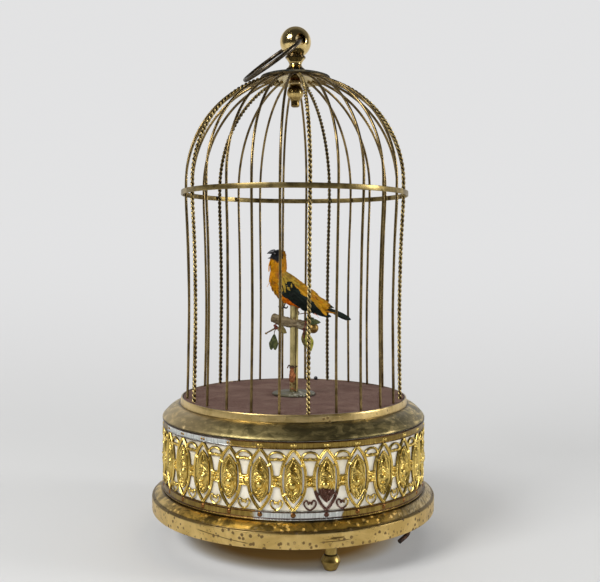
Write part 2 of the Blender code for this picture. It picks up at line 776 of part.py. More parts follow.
def make_crown_nut():
    """The turned nut that hangs on the finial's stud under the cap."""
    bore = STUD_RADIUS + GAP
    floor = nut_low + 0.45 * NUT_LENGTH
    collar = nut_top - NUT_NECK
    profile = [
        (0.0, floor),
        (bore, floor),
        (bore, nut_top),
        (0.8 * NUT_COLLAR, nut_top),
        (0.8 * NUT_COLLAR, collar),
        (NUT_COLLAR, collar),
        (NUT_COLLAR, collar - 0.14 * NUT_LENGTH),
        (NUT_BULGE_RADIUS, collar - 0.46 * NUT_LENGTH),
        (0.55 * NUT_BULGE_RADIUS, collar - 0.72 * NUT_LENGTH),
        (0.50 * NUT_BULGE_RADIUS, nut_low),
        (0.0, nut_low),
    ]
    return finish(turned("crown_nut", profile, 14), BRASS, 0.25)


def make_carry_ring():
    """The ring through the ball; it lies over to the left on the dome."""
    sides = 8
    turns = [2 * math.pi * k / sides for k in range(sides)]
    section = [(RING_RADIUS + RING_WIRE_RADIUS * math.cos(a), -RING_WIRE_RADIUS * math.sin(a)) for a in turns]
    made = turned("carry_ring", section, 30, True)
    hole = ring_axis()
    level = Vector((0.0, 0.0, 1.0)).cross(hole) * -1.0
    droop = math.radians(RING_DROOP)
    out = level * math.cos(droop) - Vector((0.0, 0.0, 1.0)) * math.sin(droop)
    normal = out.cross(hole)
    frame = Matrix((out, hole, normal)).transposed()
    made.rotation_euler = frame.to_euler()
    made.location = ball_centre + out * (RING_RADIUS - RING_WIRE_RADIUS)
    carry("ring_pivot", ball_centre, made)
    return finish(made, STEEL, 0.4)


def make_perch():
    """The brass post with its floor flange, and the branch drilled on to it."""
    low = floor_low - POST_TAIL
    post = ring("perch_post", POST_RADIUS, POST_BORE_RADIUS, low, post_top, 12)
    finish(post, BRASS, 0.35)
    flange_low = velvet_top + GAP
    flange = ring("post_flange", POST_FLANGE_RADIUS, post_hole, flange_low, flange_low + POST_FLANGE_THICKNESS, 20)
    finish(flange, BRONZE, 0.5)
    tilt = math.radians(BRANCH_TILT)
    along = Vector((math.cos(tilt), 0.0, -math.sin(tilt)))
    middle = Vector((0.0, 0.0, branch_level))
    branch = shaft(
        "perch_branch", middle - along * BRANCH_LEFT, middle + along * BRANCH_RIGHT, BRANCH_RADIUS, 12,
        0.9 * BRANCH_RADIUS,
    )
    ball = sphere("branch_ball", middle + along * (BRANCH_RIGHT + 0.7 * BRANCH_BALL_RADIUS), BRANCH_BALL_RADIUS)
    join(branch, ball)
    drill_reach = 2 * BRANCH_RADIUS
    drill = disc("branch_drill", post_hole, branch_level - drill_reach, branch_level + drill_reach, 12)
    finish(cut(branch, drill), BARK, 0.9, 0.0)


def body_station(index):
    """A station of the body as its middle, half depth and half width."""
    x, z, half, width, lean = BODY_STATIONS[index]
    middle = Vector((x, 0.0, post_top + z))
    angle = math.radians(lean)
    depth = Vector((math.sin(angle), 0.0, math.cos(angle)))
    return middle, depth * half, Vector((0.0, width, 0.0))


def make_bird_body():
    """The body from neck to rump, bored for the top of the post."""
    body = loft("bird_body", [body_station(i) for i in range(len(BODY_STATIONS))], BODY_SIDES)
    reach = 5 * POST_RADIUS
    bore = disc("body_bore", post_hole, post_top - reach, post_top + POST_RADIUS, 12)
    return finish(cut(body, bore), YELLOW, 0.8, 0.0)


def beak_hinge():
    """The middle of the lower beak's hinge, in the corner of the gape."""
    return BEAK_HINGE + Vector((0.0, 0.0, post_top))


def make_bird_head():
    """The head with the upper beak, cut out at the gape for the lower beak to swing."""
    stations = []
    for x, z, half, width in HEAD_STATIONS:
        stations.append((Vector((x, 0.0, post_top + z)), Vector((half, 0.0, 0.0)), Vector((0.0, width, 0.0))))
    head = loft("bird_head", stations, BODY_SIDES)
    hinge = beak_hinge()
    roof = hinge.z + LOWER_BEAK_RADIUS + GAP
    root = Vector((hinge.x, 0.0, roof + UPPER_BEAK_RADIUS))
    tip = root + Vector((-UPPER_BEAK_LENGTH, 0.0, 0.0))
    join(head, shaft("upper_beak", root, tip, UPPER_BEAK_RADIUS, 8, 0.15 * UPPER_BEAK_RADIUS))
    most = math.radians(max(LOWER_BEAK_DROOP, LOWER_BEAK_TURN - LOWER_BEAK_DROOP))
    side = LOWER_BEAK_RADIUS + GAP
    back = LOWER_BEAK_RADIUS * math.sin(most) + GAP
    depth = LOWER_BEAK_RADIUS + LOWER_BEAK_LENGTH * math.sin(most)
    low = hinge + Vector((-2 * LOWER_BEAK_LENGTH, -side, -depth))
    high = hinge + Vector((back, side, 0.0))
    high.z = roof
    cut(head, block("gape", low, high))
    carry("head_pivot", stations[0][0], head)
    return finish(head, YELLOW, 0.8, 0.0)


def make_lower_beak():
    """The lower beak, which hinges at the gape and is open at rest."""
    hinge = beak_hinge()
    angle = math.radians(LOWER_BEAK_DROOP)
    tip = hinge + Vector((-math.cos(angle), 0.0, -math.sin(angle))) * LOWER_BEAK_LENGTH
    beak = shaft("bird_lower_beak", hinge, tip, LOWER_BEAK_RADIUS, 8, 0.2 * LOWER_BEAK_RADIUS)
    carry("beak_pivot", hinge, beak)
    beak.parent.parent = bpy.data.objects["head_pivot"]
    beak.parent.location = hinge - bpy.data.objects["head_pivot"].location
    return finish(beak, BLACK, 0.4, 0.0)


def make_bird_wing(name, side):
    """A folded wing, a curved shell that lies along the flank, out to its tip beside the tail."""
    sections = []
    for index, (shift, half) in enumerate(WING_SHIFT_AND_HALF, start=2):
        middle, depth, width = body_station(index)
        upper = math.acos((shift + half) / depth.length)
        lower = math.acos((shift - half) / depth.length)
        turns = [upper + (lower - upper) * k / (WING_COLUMNS - 1) for k in range(WING_COLUMNS)]
        section = []
        for stand_off, angles in ((WING_CLEARANCE + WING_THICKNESS, turns), (WING_CLEARANCE, turns[::-1])):
            tall = depth * (1 + stand_off / depth.length)
            wide = width * (1 + stand_off / width.length) * side
            section += [middle + tall * math.cos(a) + wide * math.sin(a) for a in angles]
        sections.append(section)
    tip = Vector((WING_TIP.x, side * WING_TIP.y, post_top + WING_TIP.z))
    heights = [WING_TIP_HALF * (1 - 2 * k / (WING_COLUMNS - 1)) for k in range(WING_COLUMNS)]
    outer = [tip + Vector((0.0, side * WING_THICKNESS, z)) for z in heights]
    inner = [tip + Vector((0.0, 0.0, z)) for z in reversed(heights)]
    sections.append(outer + inner)
    return finish(skin(name, sections), BLACK, 0.7, 0.0)


def make_bird_tail():
    """The tail, which flicks about its root behind the rump."""
    middle, depth, width = body_station(len(BODY_STATIONS) - 1)
    away = Vector((depth.z, 0.0, -depth.x)).normalized()
    root = middle + away * TAIL_GAP
    droop = math.radians(TAIL_DROOP)
    along = Vector((math.cos(droop), 0.0, -math.sin(droop)))
    thick = Vector((math.sin(droop), 0.0, math.cos(droop))) * TAIL_HALF_THICKNESS
    stations = []
    for share in (0.0, 0.5, 1.0):
        wide = TAIL_ROOT_HALF_WIDTH + (TAIL_END_HALF_WIDTH - TAIL_ROOT_HALF_WIDTH) * share
        stations.append((root + along * TAIL_LENGTH * share, thick * (1 - 0.5 * share), Vector((0.0, wide, 0.0))))
    tail = loft("bird_tail", stations, 8)
    carry("tail_pivot", root + along * TAIL_HALF_THICKNESS, tail)
    return finish(tail, BLACK, 0.7, 0.0)


def lever_level():
    """The height of the stop lever's arm, just above the movement's lower plate."""
    return lower_face + LEVER_HUB_RADIUS


def make_stop_lever():
    """The bent wire lever that starts and stops the bird."""
    tail = lever_tail()
    level = lever_level()
    toward = (tail - LEVER_PIVOT).normalized()
    side = polar(1.0, LEVER_AZIMUTH - LEVER_TIP_TURN)
    path = [
        LEVER_PIVOT + toward * 0.6 * LEVER_HUB_RADIUS + Vector((0.0, 0.0, level)),
        tail + Vector((0.0, 0.0, level)),
        tail + Vector((0.0, 0.0, LEVER_BEND_HEIGHT)),
        tail + side * LEVER_TIP_LENGTH + Vector((0.0, 0.0, LEVER_TIP_HEIGHT)),
    ]
    lever = wire_as_mesh(wire("stop_lever", path, LEVER_WIRE_RADIUS))
    half = 1.6 * LEVER_WIRE_RADIUS
    hub = disc("lever_hub", LEVER_HUB_RADIUS, level - half, level + half, 14, LEVER_PIVOT)
    bore = disc("lever_bore", PIN_RADIUS + RUNNING_CLEARANCE, level - 2 * half, level + 2 * half, 12, LEVER_PIVOT)
    join(lever, hub)
    cut(lever, bore)
    carry("stop_lever_pivot", LEVER_PIVOT + Vector((0.0, 0.0, level)), lever)
    return finish(lever, STEEL, 0.4)


def gear_outline(teeth, module, phase):
    """The outline of a wheel with tapering teeth; phase is the direction of one tooth, in radians."""
    pitch_radius = teeth * module / 2
    root = pitch_radius - DEDENDUM * module
    tip = pitch_radius + ADDENDUM * module
    pitch = 2 * math.pi / teeth
    wide = 0.5 * TOOTH_ROOT_SHARE * pitch
    narrow = 0.5 * TOOTH_TIP_SHARE * pitch
    outline = []
    for k in range(teeth):
        middle = phase + k * pitch
        for radius, offset in ((root, -wide), (tip, -narrow), (tip, narrow), (root, wide)):
            outline.append((radius * math.cos(middle + offset), radius * math.sin(middle + offset)))
    return outline


def meshing_phase(direction, teeth, phase, other_teeth):
    """The phase of a second wheel, so that its gap meets the first wheel's tooth."""
    pitch = 2 * math.pi / teeth
    offset = (phase - direction + pitch / 2) % pitch - pitch / 2
    return direction + math.pi - offset * teeth / other_teeth + math.pi / other_teeth


def next_place(place, direction, teeth, module):
    """The arbor whose pinion meshes with a wheel at place, in the given direction in degrees."""
    distance = (teeth + PINION_TEETH) * module / 2
    angle = math.radians(direction)
    return place + Vector((math.cos(angle), math.sin(angle), 0.0)) * distance


cam_place = next_place(BARREL_PLACE, CAM_DIRECTION, GREAT_TEETH, GREAT_MODULE)
crank_place = next_place(cam_place, CRANK_DIRECTION, CAM_WHEEL_TEETH, CAM_WHEEL_MODULE)
fly_place = next_place(crank_place, FLY_DIRECTION, CRANK_WHEEL_TEETH, CRANK_WHEEL_MODULE)
barrel_radius = (cam_place - BARREL_PLACE).length - CAM_RADIUS - BARREL_CLEARANCE
cam_wheel_tip = (CAM_WHEEL_TEETH / 2 + ADDENDUM) * CAM_WHEEL_MODULE
lever_reach = cam_place.x + cam_wheel_tip + LEVER_CLEARANCE + CAM_LEVER_THICKNESS / 2


def make_movement_plates():
    """The two plates of the movement, with three pillars riveted in the lower one."""
    lower = disc("movement_lower_plate", movement_radius, lower_plate, lower_face, ROUND_STEPS)
    upper = disc("movement_upper_plate", movement_radius, upper_plate, upper_face, ROUND_STEPS)
    low, high = lower_plate - SHEET, upper_face + SHEET
    pivot_hole = ARBOR_RADIUS + RUNNING_CLEARANCE
    wind_hole = WIND_ARBOR_RADIUS + RUNNING_CLEARANCE
    notch = disc("lever_notch", LEVER_HUB_RADIUS + RUNNING_CLEARANCE, low, lower_face + SHEET, 12, LEVER_PIVOT)
    cut(lower, disc("lower_wind_hole", wind_hole, low, high, 12, BARREL_PLACE), notch)
    cut(upper, disc("upper_wind_hole", wind_hole, low, high, 12, BARREL_PLACE))
    for name, place in (("cam", cam_place), ("crank", crank_place), ("fly", fly_place)):
        cut(lower, disc(f"lower_{name}_hole", pivot_hole, low, high, 10, place))
        cut(upper, disc(f"upper_{name}_hole", pivot_hole, low, high, 10, place))
    for azimuth in PILLAR_AZIMUTHS:
        foot = polar(movement_radius - PILLAR_INSET, azimuth)
        join(lower, disc("pillar", PILLAR_RADIUS, lower_face - SHEET, upper_plate - GAP, 10, foot))
    arm = cam_lever_arm()
    margin = Vector((CAM_LEVER_THICKNESS, 2 * GAP, 0.0))
    slot_low = arm[0] - margin
    slot_high = arm[1] + margin
    slot_low.z, slot_high.z = low, high
    cut(upper, block("cam_lever_slot", slot_low, slot_high))
    ear_y = arm[1].y + 3 * GAP
    ear = block(
        "lever_ear",
        (lever_reach - CAM_LEVER_HUB, ear_y, upper_face - SHEET),
        (lever_reach + CAM_LEVER_HUB, ear_y + 2 * SHEET, cam_lever_level + CAM_LEVER_HUB),
    )
    pin = shaft(
        "lever_pivot_pin",
        (lever_reach, ear_y + SHEET, cam_lever_level),
        (lever_reach, -CAM_LEVER_WIDTH, cam_lever_level), PIN_RADIUS, 10,
    )
    join(upper, ear, pin)
    finish(lower, BRASS, 0.35)
    finish(upper, BRASS, 0.35)


def cam_lever_arm():
    """The corners of the cam lever's upright arm, whose foot stands beside the cams."""
    y = cam_place.y
    half = CAM_LEVER_WIDTH / 2
    low = Vector((lever_reach - CAM_LEVER_THICKNESS / 2, y - half, cams_low + CAM_THICKNESS))
    high = Vector((lever_reach + CAM_LEVER_THICKNESS / 2, y + half, cam_lever_level))
    return low, high


def make_cam_lever():
    """The bell crank between the cams and the push rod."""
    low, high = cam_lever_arm()
    half = CAM_LEVER_WIDTH / 2
    hub = shaft(
        "cam_lever", (lever_reach, -half, cam_lever_level),
        (lever_reach, high.y, cam_lever_level), CAM_LEVER_HUB, 12,
    )
    upright = block("cam_lever_upright", low, high)
    across = block(
        "cam_lever_across", (-2 * ROD_RADIUS, -half, cam_lever_level - CAM_LEVER_THICKNESS / 2),
        (lever_reach, half, cam_lever_level + CAM_LEVER_THICKNESS / 2),
    )
    nose = block(
        "cam_lever_nose", (cam_place.x + CAM_RADIUS + GAP, low.y, low.z),
        (low.x + SHEET, high.y, low.z + CAM_THICKNESS),
    )
    join(hub, upright, across, nose)
    bore = shaft(
        "cam_lever_bore", (lever_reach, -2 * CAM_LEVER_WIDTH, cam_lever_level),
        (lever_reach, high.y + CAM_LEVER_WIDTH, cam_lever_level), PIN_RADIUS + RUNNING_CLEARANCE, 12,
    )
    cut(hub, bore)
    carry("cam_lever_pivot", Vector((lever_reach, 0.0, cam_lever_level)), hub)
    return finish(hub, STEEL, 0.4)


def make_push_rod():
    """The rod up the post, from the cam lever to the bird."""
    return finish(disc("push_rod", ROD_RADIUS, rod_low, post_top, 8), STEEL, 0.3)


def make_barrel():
    """The spring barrel with the great wheel, its cap and the mainspring."""
    floor = great_wheel_low + WHEEL_THICKNESS
    bore = WIND_ARBOR_RADIUS + RUNNING_CLEARANCE
    wheel = prism("spring_barrel", gear_outline(GREAT_TEETH, GREAT_MODULE, 0.0), great_wheel_low, floor, BARREL_PLACE)
    drum = ring("drum", barrel_radius, barrel_radius - 2 * SHEET, floor - SHEET, barrel_top - SHEET - GAP, 24, BARREL_PLACE)
    join(wheel, drum)
    cut(wheel, disc("barrel_bore", bore, great_wheel_low - SHEET, floor + SHEET, 12, BARREL_PLACE))
    finish(wheel, BRASS, 0.3)
    cap = ring("barrel_cap", barrel_radius, bore, barrel_top - SHEET, barrel_top, 24, BARREL_PLACE)
    finish(cap, BRASS, 0.3)
    spring_low, spring_top = floor + 2 * GAP, barrel_top - SHEET - 2 * GAP
    inner = WIND_ARBOR_RADIUS + SHEET
    outer = barrel_radius - 2 * SHEET - SPRING_THICKNESS - GAP
    count = 12 * SPRING_TURNS
    inside, outside = [], []
    for k in range(count + 1):
        share = k / count
        angle = 2 * math.pi * SPRING_TURNS * share
        radius = inner + (outer - inner) * share
        inside.append((radius * math.cos(angle), radius * math.sin(angle)))
        outside.append(((radius + SPRING_THICKNESS) * math.cos(angle), (radius + SPRING_THICKNESS) * math.sin(angle)))
    spring = prism("mainspring", inside + outside[::-1], spring_low, spring_top, BARREL_PLACE)
    finish(spring, STEEL, 0.3)


def make_winding():
    """The winding arbor with its ratchet wheel, the click, and the key under the base."""
    key_top = skirt_low - GAP
    key_low = KEY_CLEARANCE
    stem_low = (key_low + key_top) / 2
    ratchet_low = upper_face + GAP
    ratchet_top = ratchet_low + WHEEL_THICKNESS
    arbor = disc("winding_arbor", WIND_ARBOR_RADIUS, key_top, ratchet_top + SHEET, 12, BARREL_PLACE)
    outline = []
    for k in range(RATCHET_TEETH):
        start = 2 * math.pi * k / RATCHET_TEETH
        outline.append((RATCHET_RADIUS * math.cos(start), RATCHET_RADIUS * math.sin(start)))
        outline.append((0.8 * RATCHET_RADIUS * math.cos(start + 0.04), 0.8 * RATCHET_RADIUS * math.sin(start + 0.04)))
    join(arbor, prism("ratchet", outline, ratchet_low, ratchet_top, BARREL_PLACE))
    finish(arbor, STEEL, 0.3)
    click_place = BARREL_PLACE + Vector((-RATCHET_RADIUS - 2 * PIN_RADIUS, -CLICK_LENGTH, 0.0))
    click_low = upper_face + GAP
    tip = BARREL_PLACE + Vector((-RATCHET_RADIUS - GAP, 0.0, 0.0)) - click_place
    outline = [
        (-PIN_RADIUS * 1.6, -PIN_RADIUS * 1.6), (PIN_RADIUS * 1.6, -PIN_RADIUS * 1.6),
        (PIN_RADIUS * 1.6, PIN_RADIUS * 1.6), (tip.x, tip.y), (tip.x - PIN_RADIUS, tip.y),
        (-PIN_RADIUS * 1.6, PIN_RADIUS * 1.6),
    ]
    finish(prism("click", outline, click_low, click_low + WHEEL_THICKNESS, click_place), STEEL, 0.3)
    key = shaft(
        "winding_key", BARREL_PLACE + Vector((0.0, 0.0, key_low + SHEET)),
        BARREL_PLACE + Vector((0.0, 0.0, key_top - GAP)), 1.5 * WIND_ARBOR_RADIUS, 12,
    )
    wings = block(
        "key_wings",
        BARREL_PLACE + Vector((-KEY_HALF_WIDTH, -KEY_THICKNESS / 2, key_low)),
        BARREL_PLACE + Vector((KEY_HALF_WIDTH, KEY_THICKNESS / 2, stem_low + SHEET)),
    )
    join(key, wings)
    carry("key_pivot", BARREL_PLACE, key)
    return finish(key, STEEL, 0.35)


def make_train():
    """The cam arbor, the crank arbor and the fly, each with its pinion and wheel."""
    low, high = lower_plate + GAP, upper_face - GAP
    great_direction = math.radians(CAM_DIRECTION)
    phase = meshing_phase(great_direction, GREAT_TEETH, 0.0, PINION_TEETH)
    cam_arbor = disc("cam_arbor", ARBOR_RADIUS, low, high, 10, cam_place)
    pinion = prism(
        "cam_pinion", gear_outline(PINION_TEETH, GREAT_MODULE, phase), great_wheel_low,
        great_wheel_low + WHEEL_THICKNESS, cam_place,
    )
    join(cam_arbor, pinion)
    for k in range(CAM_COUNT):
        base = cams_low + 2 * CAM_THICKNESS * k
        points = []
        for step in range(16):
            angle = 2 * math.pi * step / 16
            radius = CAM_RADIUS * (0.86 + 0.14 * math.cos((k + 2) * angle + k))
            points.append((radius * math.cos(angle), radius * math.sin(angle)))
        join(cam_arbor, prism("cam", points, base, base + CAM_THICKNESS, cam_place))
    wheel = prism(
        "cam_wheel", gear_outline(CAM_WHEEL_TEETH, CAM_WHEEL_MODULE, 0.0), cam_wheel_low,
        cam_wheel_low + WHEEL_THICKNESS, cam_place,
    )
    finish(join(cam_arbor, wheel), BRASS, 0.3)

    phase = meshing_phase(math.radians(CRANK_DIRECTION), CAM_WHEEL_TEETH, 0.0, PINION_TEETH)
    crank_low = upper_face + 2 * GAP
    crank_top = crank_low + WHEEL_THICKNESS
    crank_arbor = disc("crank_arbor", ARBOR_RADIUS, low, crank_low + SHEET, 10, crank_place)
    pinion = prism(
        "crank_pinion", gear_outline(PINION_TEETH, CAM_WHEEL_MODULE, phase), cam_wheel_low,
        cam_wheel_low + WHEEL_THICKNESS, crank_place,
    )
    wheel = prism(
        "crank_wheel", gear_outline(CRANK_WHEEL_TEETH, CRANK_WHEEL_MODULE, 0.0), crank_wheel_low,
        crank_wheel_top, crank_place,
    )
    crank = disc("crank_disc", CRANK_RADIUS, crank_low, crank_top, 14, crank_place)
    pin = disc("crank_pin", ARBOR_RADIUS, crank_top - SHEET, crank_top + 2 * WHEEL_THICKNESS, 8, crank_place + Vector((CRANK_THROW, 0.0, 0.0)))
    finish(join(crank_arbor, pinion, wheel, crank, pin), BRASS, 0.3)

    phase = meshing_phase(math.radians(FLY_DIRECTION), CRANK_WHEEL_TEETH, 0.0, PINION_TEETH)
    fly = disc("governor_fly", ARBOR_RADIUS, low, high, 10, fly_place)
    pinion = prism(
        "fly_pinion", gear_outline(PINION_TEETH, CRANK_WHEEL_MODULE, phase), crank_wheel_low - GAP,
        crank_wheel_top + GAP, fly_place,
    )
    vane_top = crank_wheel_low - 3 * SHEET
    vane = block(
        "fly_vane",
        fly_place + Vector((-FLY_HALF_WIDTH, -SHEET / 2, vane_top - FLY_HEIGHT)),
        fly_place + Vector((FLY_HALF_WIDTH, SHEET / 2, vane_top)),
    )
    return finish(join(fly, pinion, vane), BRASS, 0.3)


def make_bellows():
    """The wind bellows: a base board on the upper plate, a folded leather and a board that opens."""
    low = BELLOWS_LOW + Vector((0.0, 0.0, upper_face + GAP))
    high = low + BELLOWS_SIZE
    finish(block("bellows_base", low, high), BARK, 0.6, 0.0)
    fold_low = high.z + GAP
    fold_top = fold_low + BELLOWS_FOLD
    fold = block("bellows_leather", (low.x, low.y, fold_low), (high.x, high.y, fold_top))
    finish(fold, LEATHER, 0.8, 0.0)
    board_low = fold_top + GAP
    board = block(
        "bellows_board", (low.x, low.y - 2 * SHEET, board_low), (high.x, high.y, board_low + BELLOWS_SIZE.z),
    )
    carry("bellows_hinge", Vector((low.x, high.y, board_low)), board)
    return finish(board, BARK, 0.6, 0.0)


def make_whistle():
    """The whistle on its two feet, with the piston that tunes the song."""
    level = upper_face + WHISTLE_LIFT
    middle = WHISTLE_PLACE + Vector((0.0, 0.0, level))
    half = Vector((WHISTLE_LENGTH / 2, 0.0, 0.0))
    tube = shaft("whistle", middle - half, middle + half, WHISTLE_RADIUS, 12)
    for share in (-0.7, 0.7):
        x = middle.x + share * half.x
        foot = block(
            "whistle_foot", (x - SHEET, middle.y - WHISTLE_RADIUS / 2, upper_face + GAP),
            (x + SHEET, middle.y + WHISTLE_RADIUS / 2, level),
        )
        join(tube, foot)
    bore = shaft("whistle_bore", middle - half + Vector((2 * SHEET, 0.0, 0.0)), middle + 2 * half, WHISTLE_BORE, 12)
    mouth = block(
        "whistle_mouth", middle - half + Vector((3 * SHEET, -WHISTLE_BORE / 2, 0.0)),
        middle - half + Vector((6 * SHEET, WHISTLE_BORE / 2, 2 * WHISTLE_RADIUS)),
    )
    cut(tube, bore, mouth)
    finish(tube, BRASS, 0.3)
    head = middle + Vector((WHISTLE_LENGTH / 2 - PISTON_LENGTH - GAP, 0.0, 0.0))
    tail = head + Vector((PISTON_LENGTH, 0.0, 0.0))
    piston = shaft("whistle_piston", head, tail, WHISTLE_BORE - RUNNING_CLEARANCE, 12)
    rod = shaft("piston_rod", tail - Vector((SHEET, 0.0, 0.0)), tail + Vector((PISTON_LENGTH, 0.0, 0.0)), PISTON_ROD_RADIUS, 8)
    return finish(join(piston, rod), STEEL, 0.3)


def make_all():
    """Every piece, from the feet to the finial, then the movement."""
    for number in range(1, FOOT_COUNT + 1):
        make_foot(number)
    make_base_flange()
    make_bottom_plate()
    make_gallery()
    make_liner()
    make_upper_cover()
    make_rim()
    make_floor()
    make_cage_wires()
    make_hoop()
    make_crown_cap()
    make_finial()
    make_crown_nut()
    make_carry_ring()
    make_perch()
    make_bird_body()
    make_bird_head()
    make_lower_beak()
    make_bird_wing("bird_wing_left", -1.0)
    make_bird_wing("bird_wing_right", 1.0)
    make_bird_tail()
    make_stop_lever()
    make_movement_plates()
    make_cam_lever()
    make_push_rod()
    make_barrel()
    make_winding()
    make_train()
    make_bellows()
    make_whistle()
    for made in parts.objects:
        if made.type == "MESH":
            made.data.shade_smooth()
            made.data.set_sharp_from_angle(angle=math.radians(35.0))


make_all()
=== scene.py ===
# %% [markdown]
# A singing bird automaton: a clockwork songbird on a perch, in a domed wire cage, on a round base.
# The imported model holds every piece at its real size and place. This lesson dresses it: it gives
# smooth turned brass, a pierced gilt gallery, twisted wires, velvet, bark, leaves and feathers.
# Each cell makes one thing, and every piece rides on the body that carries it.

# %% Load the frame
import json
import math

import bpy
import numpy as np
from mathutils import Matrix, Vector

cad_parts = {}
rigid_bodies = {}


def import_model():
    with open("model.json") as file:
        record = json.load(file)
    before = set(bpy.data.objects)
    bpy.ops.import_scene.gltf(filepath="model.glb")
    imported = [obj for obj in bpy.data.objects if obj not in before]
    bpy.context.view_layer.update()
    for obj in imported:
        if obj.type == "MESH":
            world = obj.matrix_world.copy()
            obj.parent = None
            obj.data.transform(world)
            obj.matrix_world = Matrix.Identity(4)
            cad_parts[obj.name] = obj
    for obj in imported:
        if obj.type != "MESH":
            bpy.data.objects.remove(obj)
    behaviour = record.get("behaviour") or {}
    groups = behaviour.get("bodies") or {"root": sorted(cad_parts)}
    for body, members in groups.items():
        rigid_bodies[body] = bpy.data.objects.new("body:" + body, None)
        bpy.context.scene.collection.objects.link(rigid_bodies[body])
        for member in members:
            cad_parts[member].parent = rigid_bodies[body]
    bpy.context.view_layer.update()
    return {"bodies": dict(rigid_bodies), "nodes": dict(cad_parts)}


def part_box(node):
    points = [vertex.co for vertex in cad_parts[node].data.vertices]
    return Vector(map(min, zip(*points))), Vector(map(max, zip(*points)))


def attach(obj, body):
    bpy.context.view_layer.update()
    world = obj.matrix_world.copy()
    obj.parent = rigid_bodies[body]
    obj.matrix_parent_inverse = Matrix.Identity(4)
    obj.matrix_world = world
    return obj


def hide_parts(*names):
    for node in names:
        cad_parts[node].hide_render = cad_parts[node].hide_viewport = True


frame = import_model()
nodes = frame["nodes"]
mm = 0.001
TURN = 2 * math.pi
print("bodies:", ", ".join(sorted(frame["bodies"])))

# %% [markdown]
# The camera stands in front of the cage, about 47 cm away and a little over half way up, and looks
# slightly down. Its place was worked out from the outlines of the round pieces: the ellipses of the
# skirt, the rim and the hoop open by different amounts, and only one height and distance fit all three.

# %% Camera
IMAGE_WIDTH = 600
FOCAL_PIXELS = 853.0
SENSOR = 36.0
yaw, pitch, roll = (math.radians(a) for a in (0.384, 2.398, 0.304))
level_right = Vector((math.cos(yaw), -math.sin(yaw), 0.0))
forward = Vector((math.sin(yaw) * math.cos(pitch), math.cos(yaw) * math.cos(pitch), -math.sin(pitch)))
level_up = level_right.cross(forward)
right = level_right * math.cos(roll) + level_up * math.sin(roll)
up = level_up * math.cos(roll) - level_right * math.sin(roll)
camera = bpy.data.objects.new("camera", bpy.data.cameras.new("camera"))
bpy.context.scene.collection.objects.link(camera)
camera.matrix_world = Matrix.Translation((0.0, -0.4699, 0.1540)) @ Matrix((right, up, -forward)).transposed().to_4x4()
camera.data.sensor_fit = "HORIZONTAL"
camera.data.sensor_width = SENSOR
camera.data.lens = FOCAL_PIXELS * SENSOR / IMAGE_WIDTH
camera.data.clip_start = 0.01
bpy.context.scene.camera = camera
bpy.context.scene.view_settings.view_transform = "Standard"
print("lens:", round(camera.data.lens, 2), "mm")

# %% [markdown]
# Almost every piece here is a grid of points, rows by columns, so one function turns a grid into
# faces. Rows run along the piece, and columns run round it, counter-clockwise as seen from its far
# end, which makes the faces point outwards. Another puts any number of such patches into one mesh.

# %% Grids of points become meshes
def patch(points, rows_closed=False, columns_closed=True, ends=True):
    """A grid (rows, columns, 3) as points, quads and triangles.

    A quad joins (i, j), (i, j + 1), (i + 1, j + 1) and (i + 1, j), and each open end gets a fan
    round the mean of its row.
    """
    rows, columns = points.shape[:2]
    i = np.arange(rows if rows_closed else rows - 1)[:, None]
    j = np.arange(columns if columns_closed else columns - 1)[None, :]
    across = (j + 1) % columns
    above = (i + 1) % rows
    quads = np.stack([i * columns + j, i * columns + across, above * columns + across, above * columns + j], -1)
    flat = points.reshape(-1, 3)
    triangles = np.zeros((0, 3), int)
    if ends and not rows_closed:
        k = np.arange(columns)
        after = (k + 1) % columns
        last = (rows - 1) * columns
        low = np.stack([np.full(columns, len(flat)), after, k], -1)
        high = np.stack([np.full(columns, len(flat) + 1), last + k, last + after], -1)
        flat = np.concatenate([flat, [points[0].mean(0)], [points[-1].mean(0)]])
        triangles = np.concatenate([low, high])
    return flat, quads.reshape(-1, 4), triangles


def together(patches):
    """Several patches as one: the points follow each other, and the faces count on."""
    starts = np.cumsum([0] + [len(p[0]) for p in patches])
    points = np.concatenate([p[0] for p in patches])
    quads = np.concatenate([p[1] + s for p, s in zip(patches, starts)])
    triangles = np.concatenate([p[2] + s for p, s in zip(patches, starts)])
    return points, quads, triangles


def copies(shape, moves):
    """A patch repeated: each move maps its points to a new place, and the faces count on."""
    return together([(move(shape[0]), shape[1], shape[2]) for move in moves])


def piece(name, shape, material, body="cage_and_base", replaces=(), sharp=40.0):
    """An object from a patch, with its material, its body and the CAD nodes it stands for."""
    points, quads, triangles = shape
    corners = np.concatenate([quads.ravel(), triangles.ravel()]).astype(np.int32)
    sizes = np.concatenate([np.full(len(quads), 4), np.full(len(triangles), 3)])
    mesh = bpy.data.meshes.new(name)
    mesh.vertices.add(len(points))
    mesh.vertices.foreach_set("co", np.asarray(points, np.float32).ravel())
    mesh.loops.add(len(corners))
    mesh.loops.foreach_set("vertex_index", corners)
    mesh.polygons.add(len(sizes))
    mesh.polygons.foreach_set("loop_start", np.concatenate([[0], np.cumsum(sizes)[:-1]]).astype(np.int32))
    mesh.update(calc_edges=True)
    mesh.shade_smooth()
    mesh.set_sharp_from_angle(angle=math.radians(sharp))
    mesh.materials.append(material)
    made = bpy.data.objects.new(name, mesh)
    bpy.context.scene.collection.objects.link(made)
    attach(made, body)
    if replaces:
        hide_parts(*replaces)
    print(f"{name}: {len(quads) * 2 + len(triangles)} triangles on {body}")
    return made


# %% [markdown]
# Two families of shapes do most of the work. A turned piece is a profile of radii and heights swept
# round an axis. A wire is a small circle carried along a path, and a moulding is any other outline
# carried the same way. In both, a corner is rounded by a short curve, because real metal has no
# sharp corners and the light that catches them is what makes it look like metal.

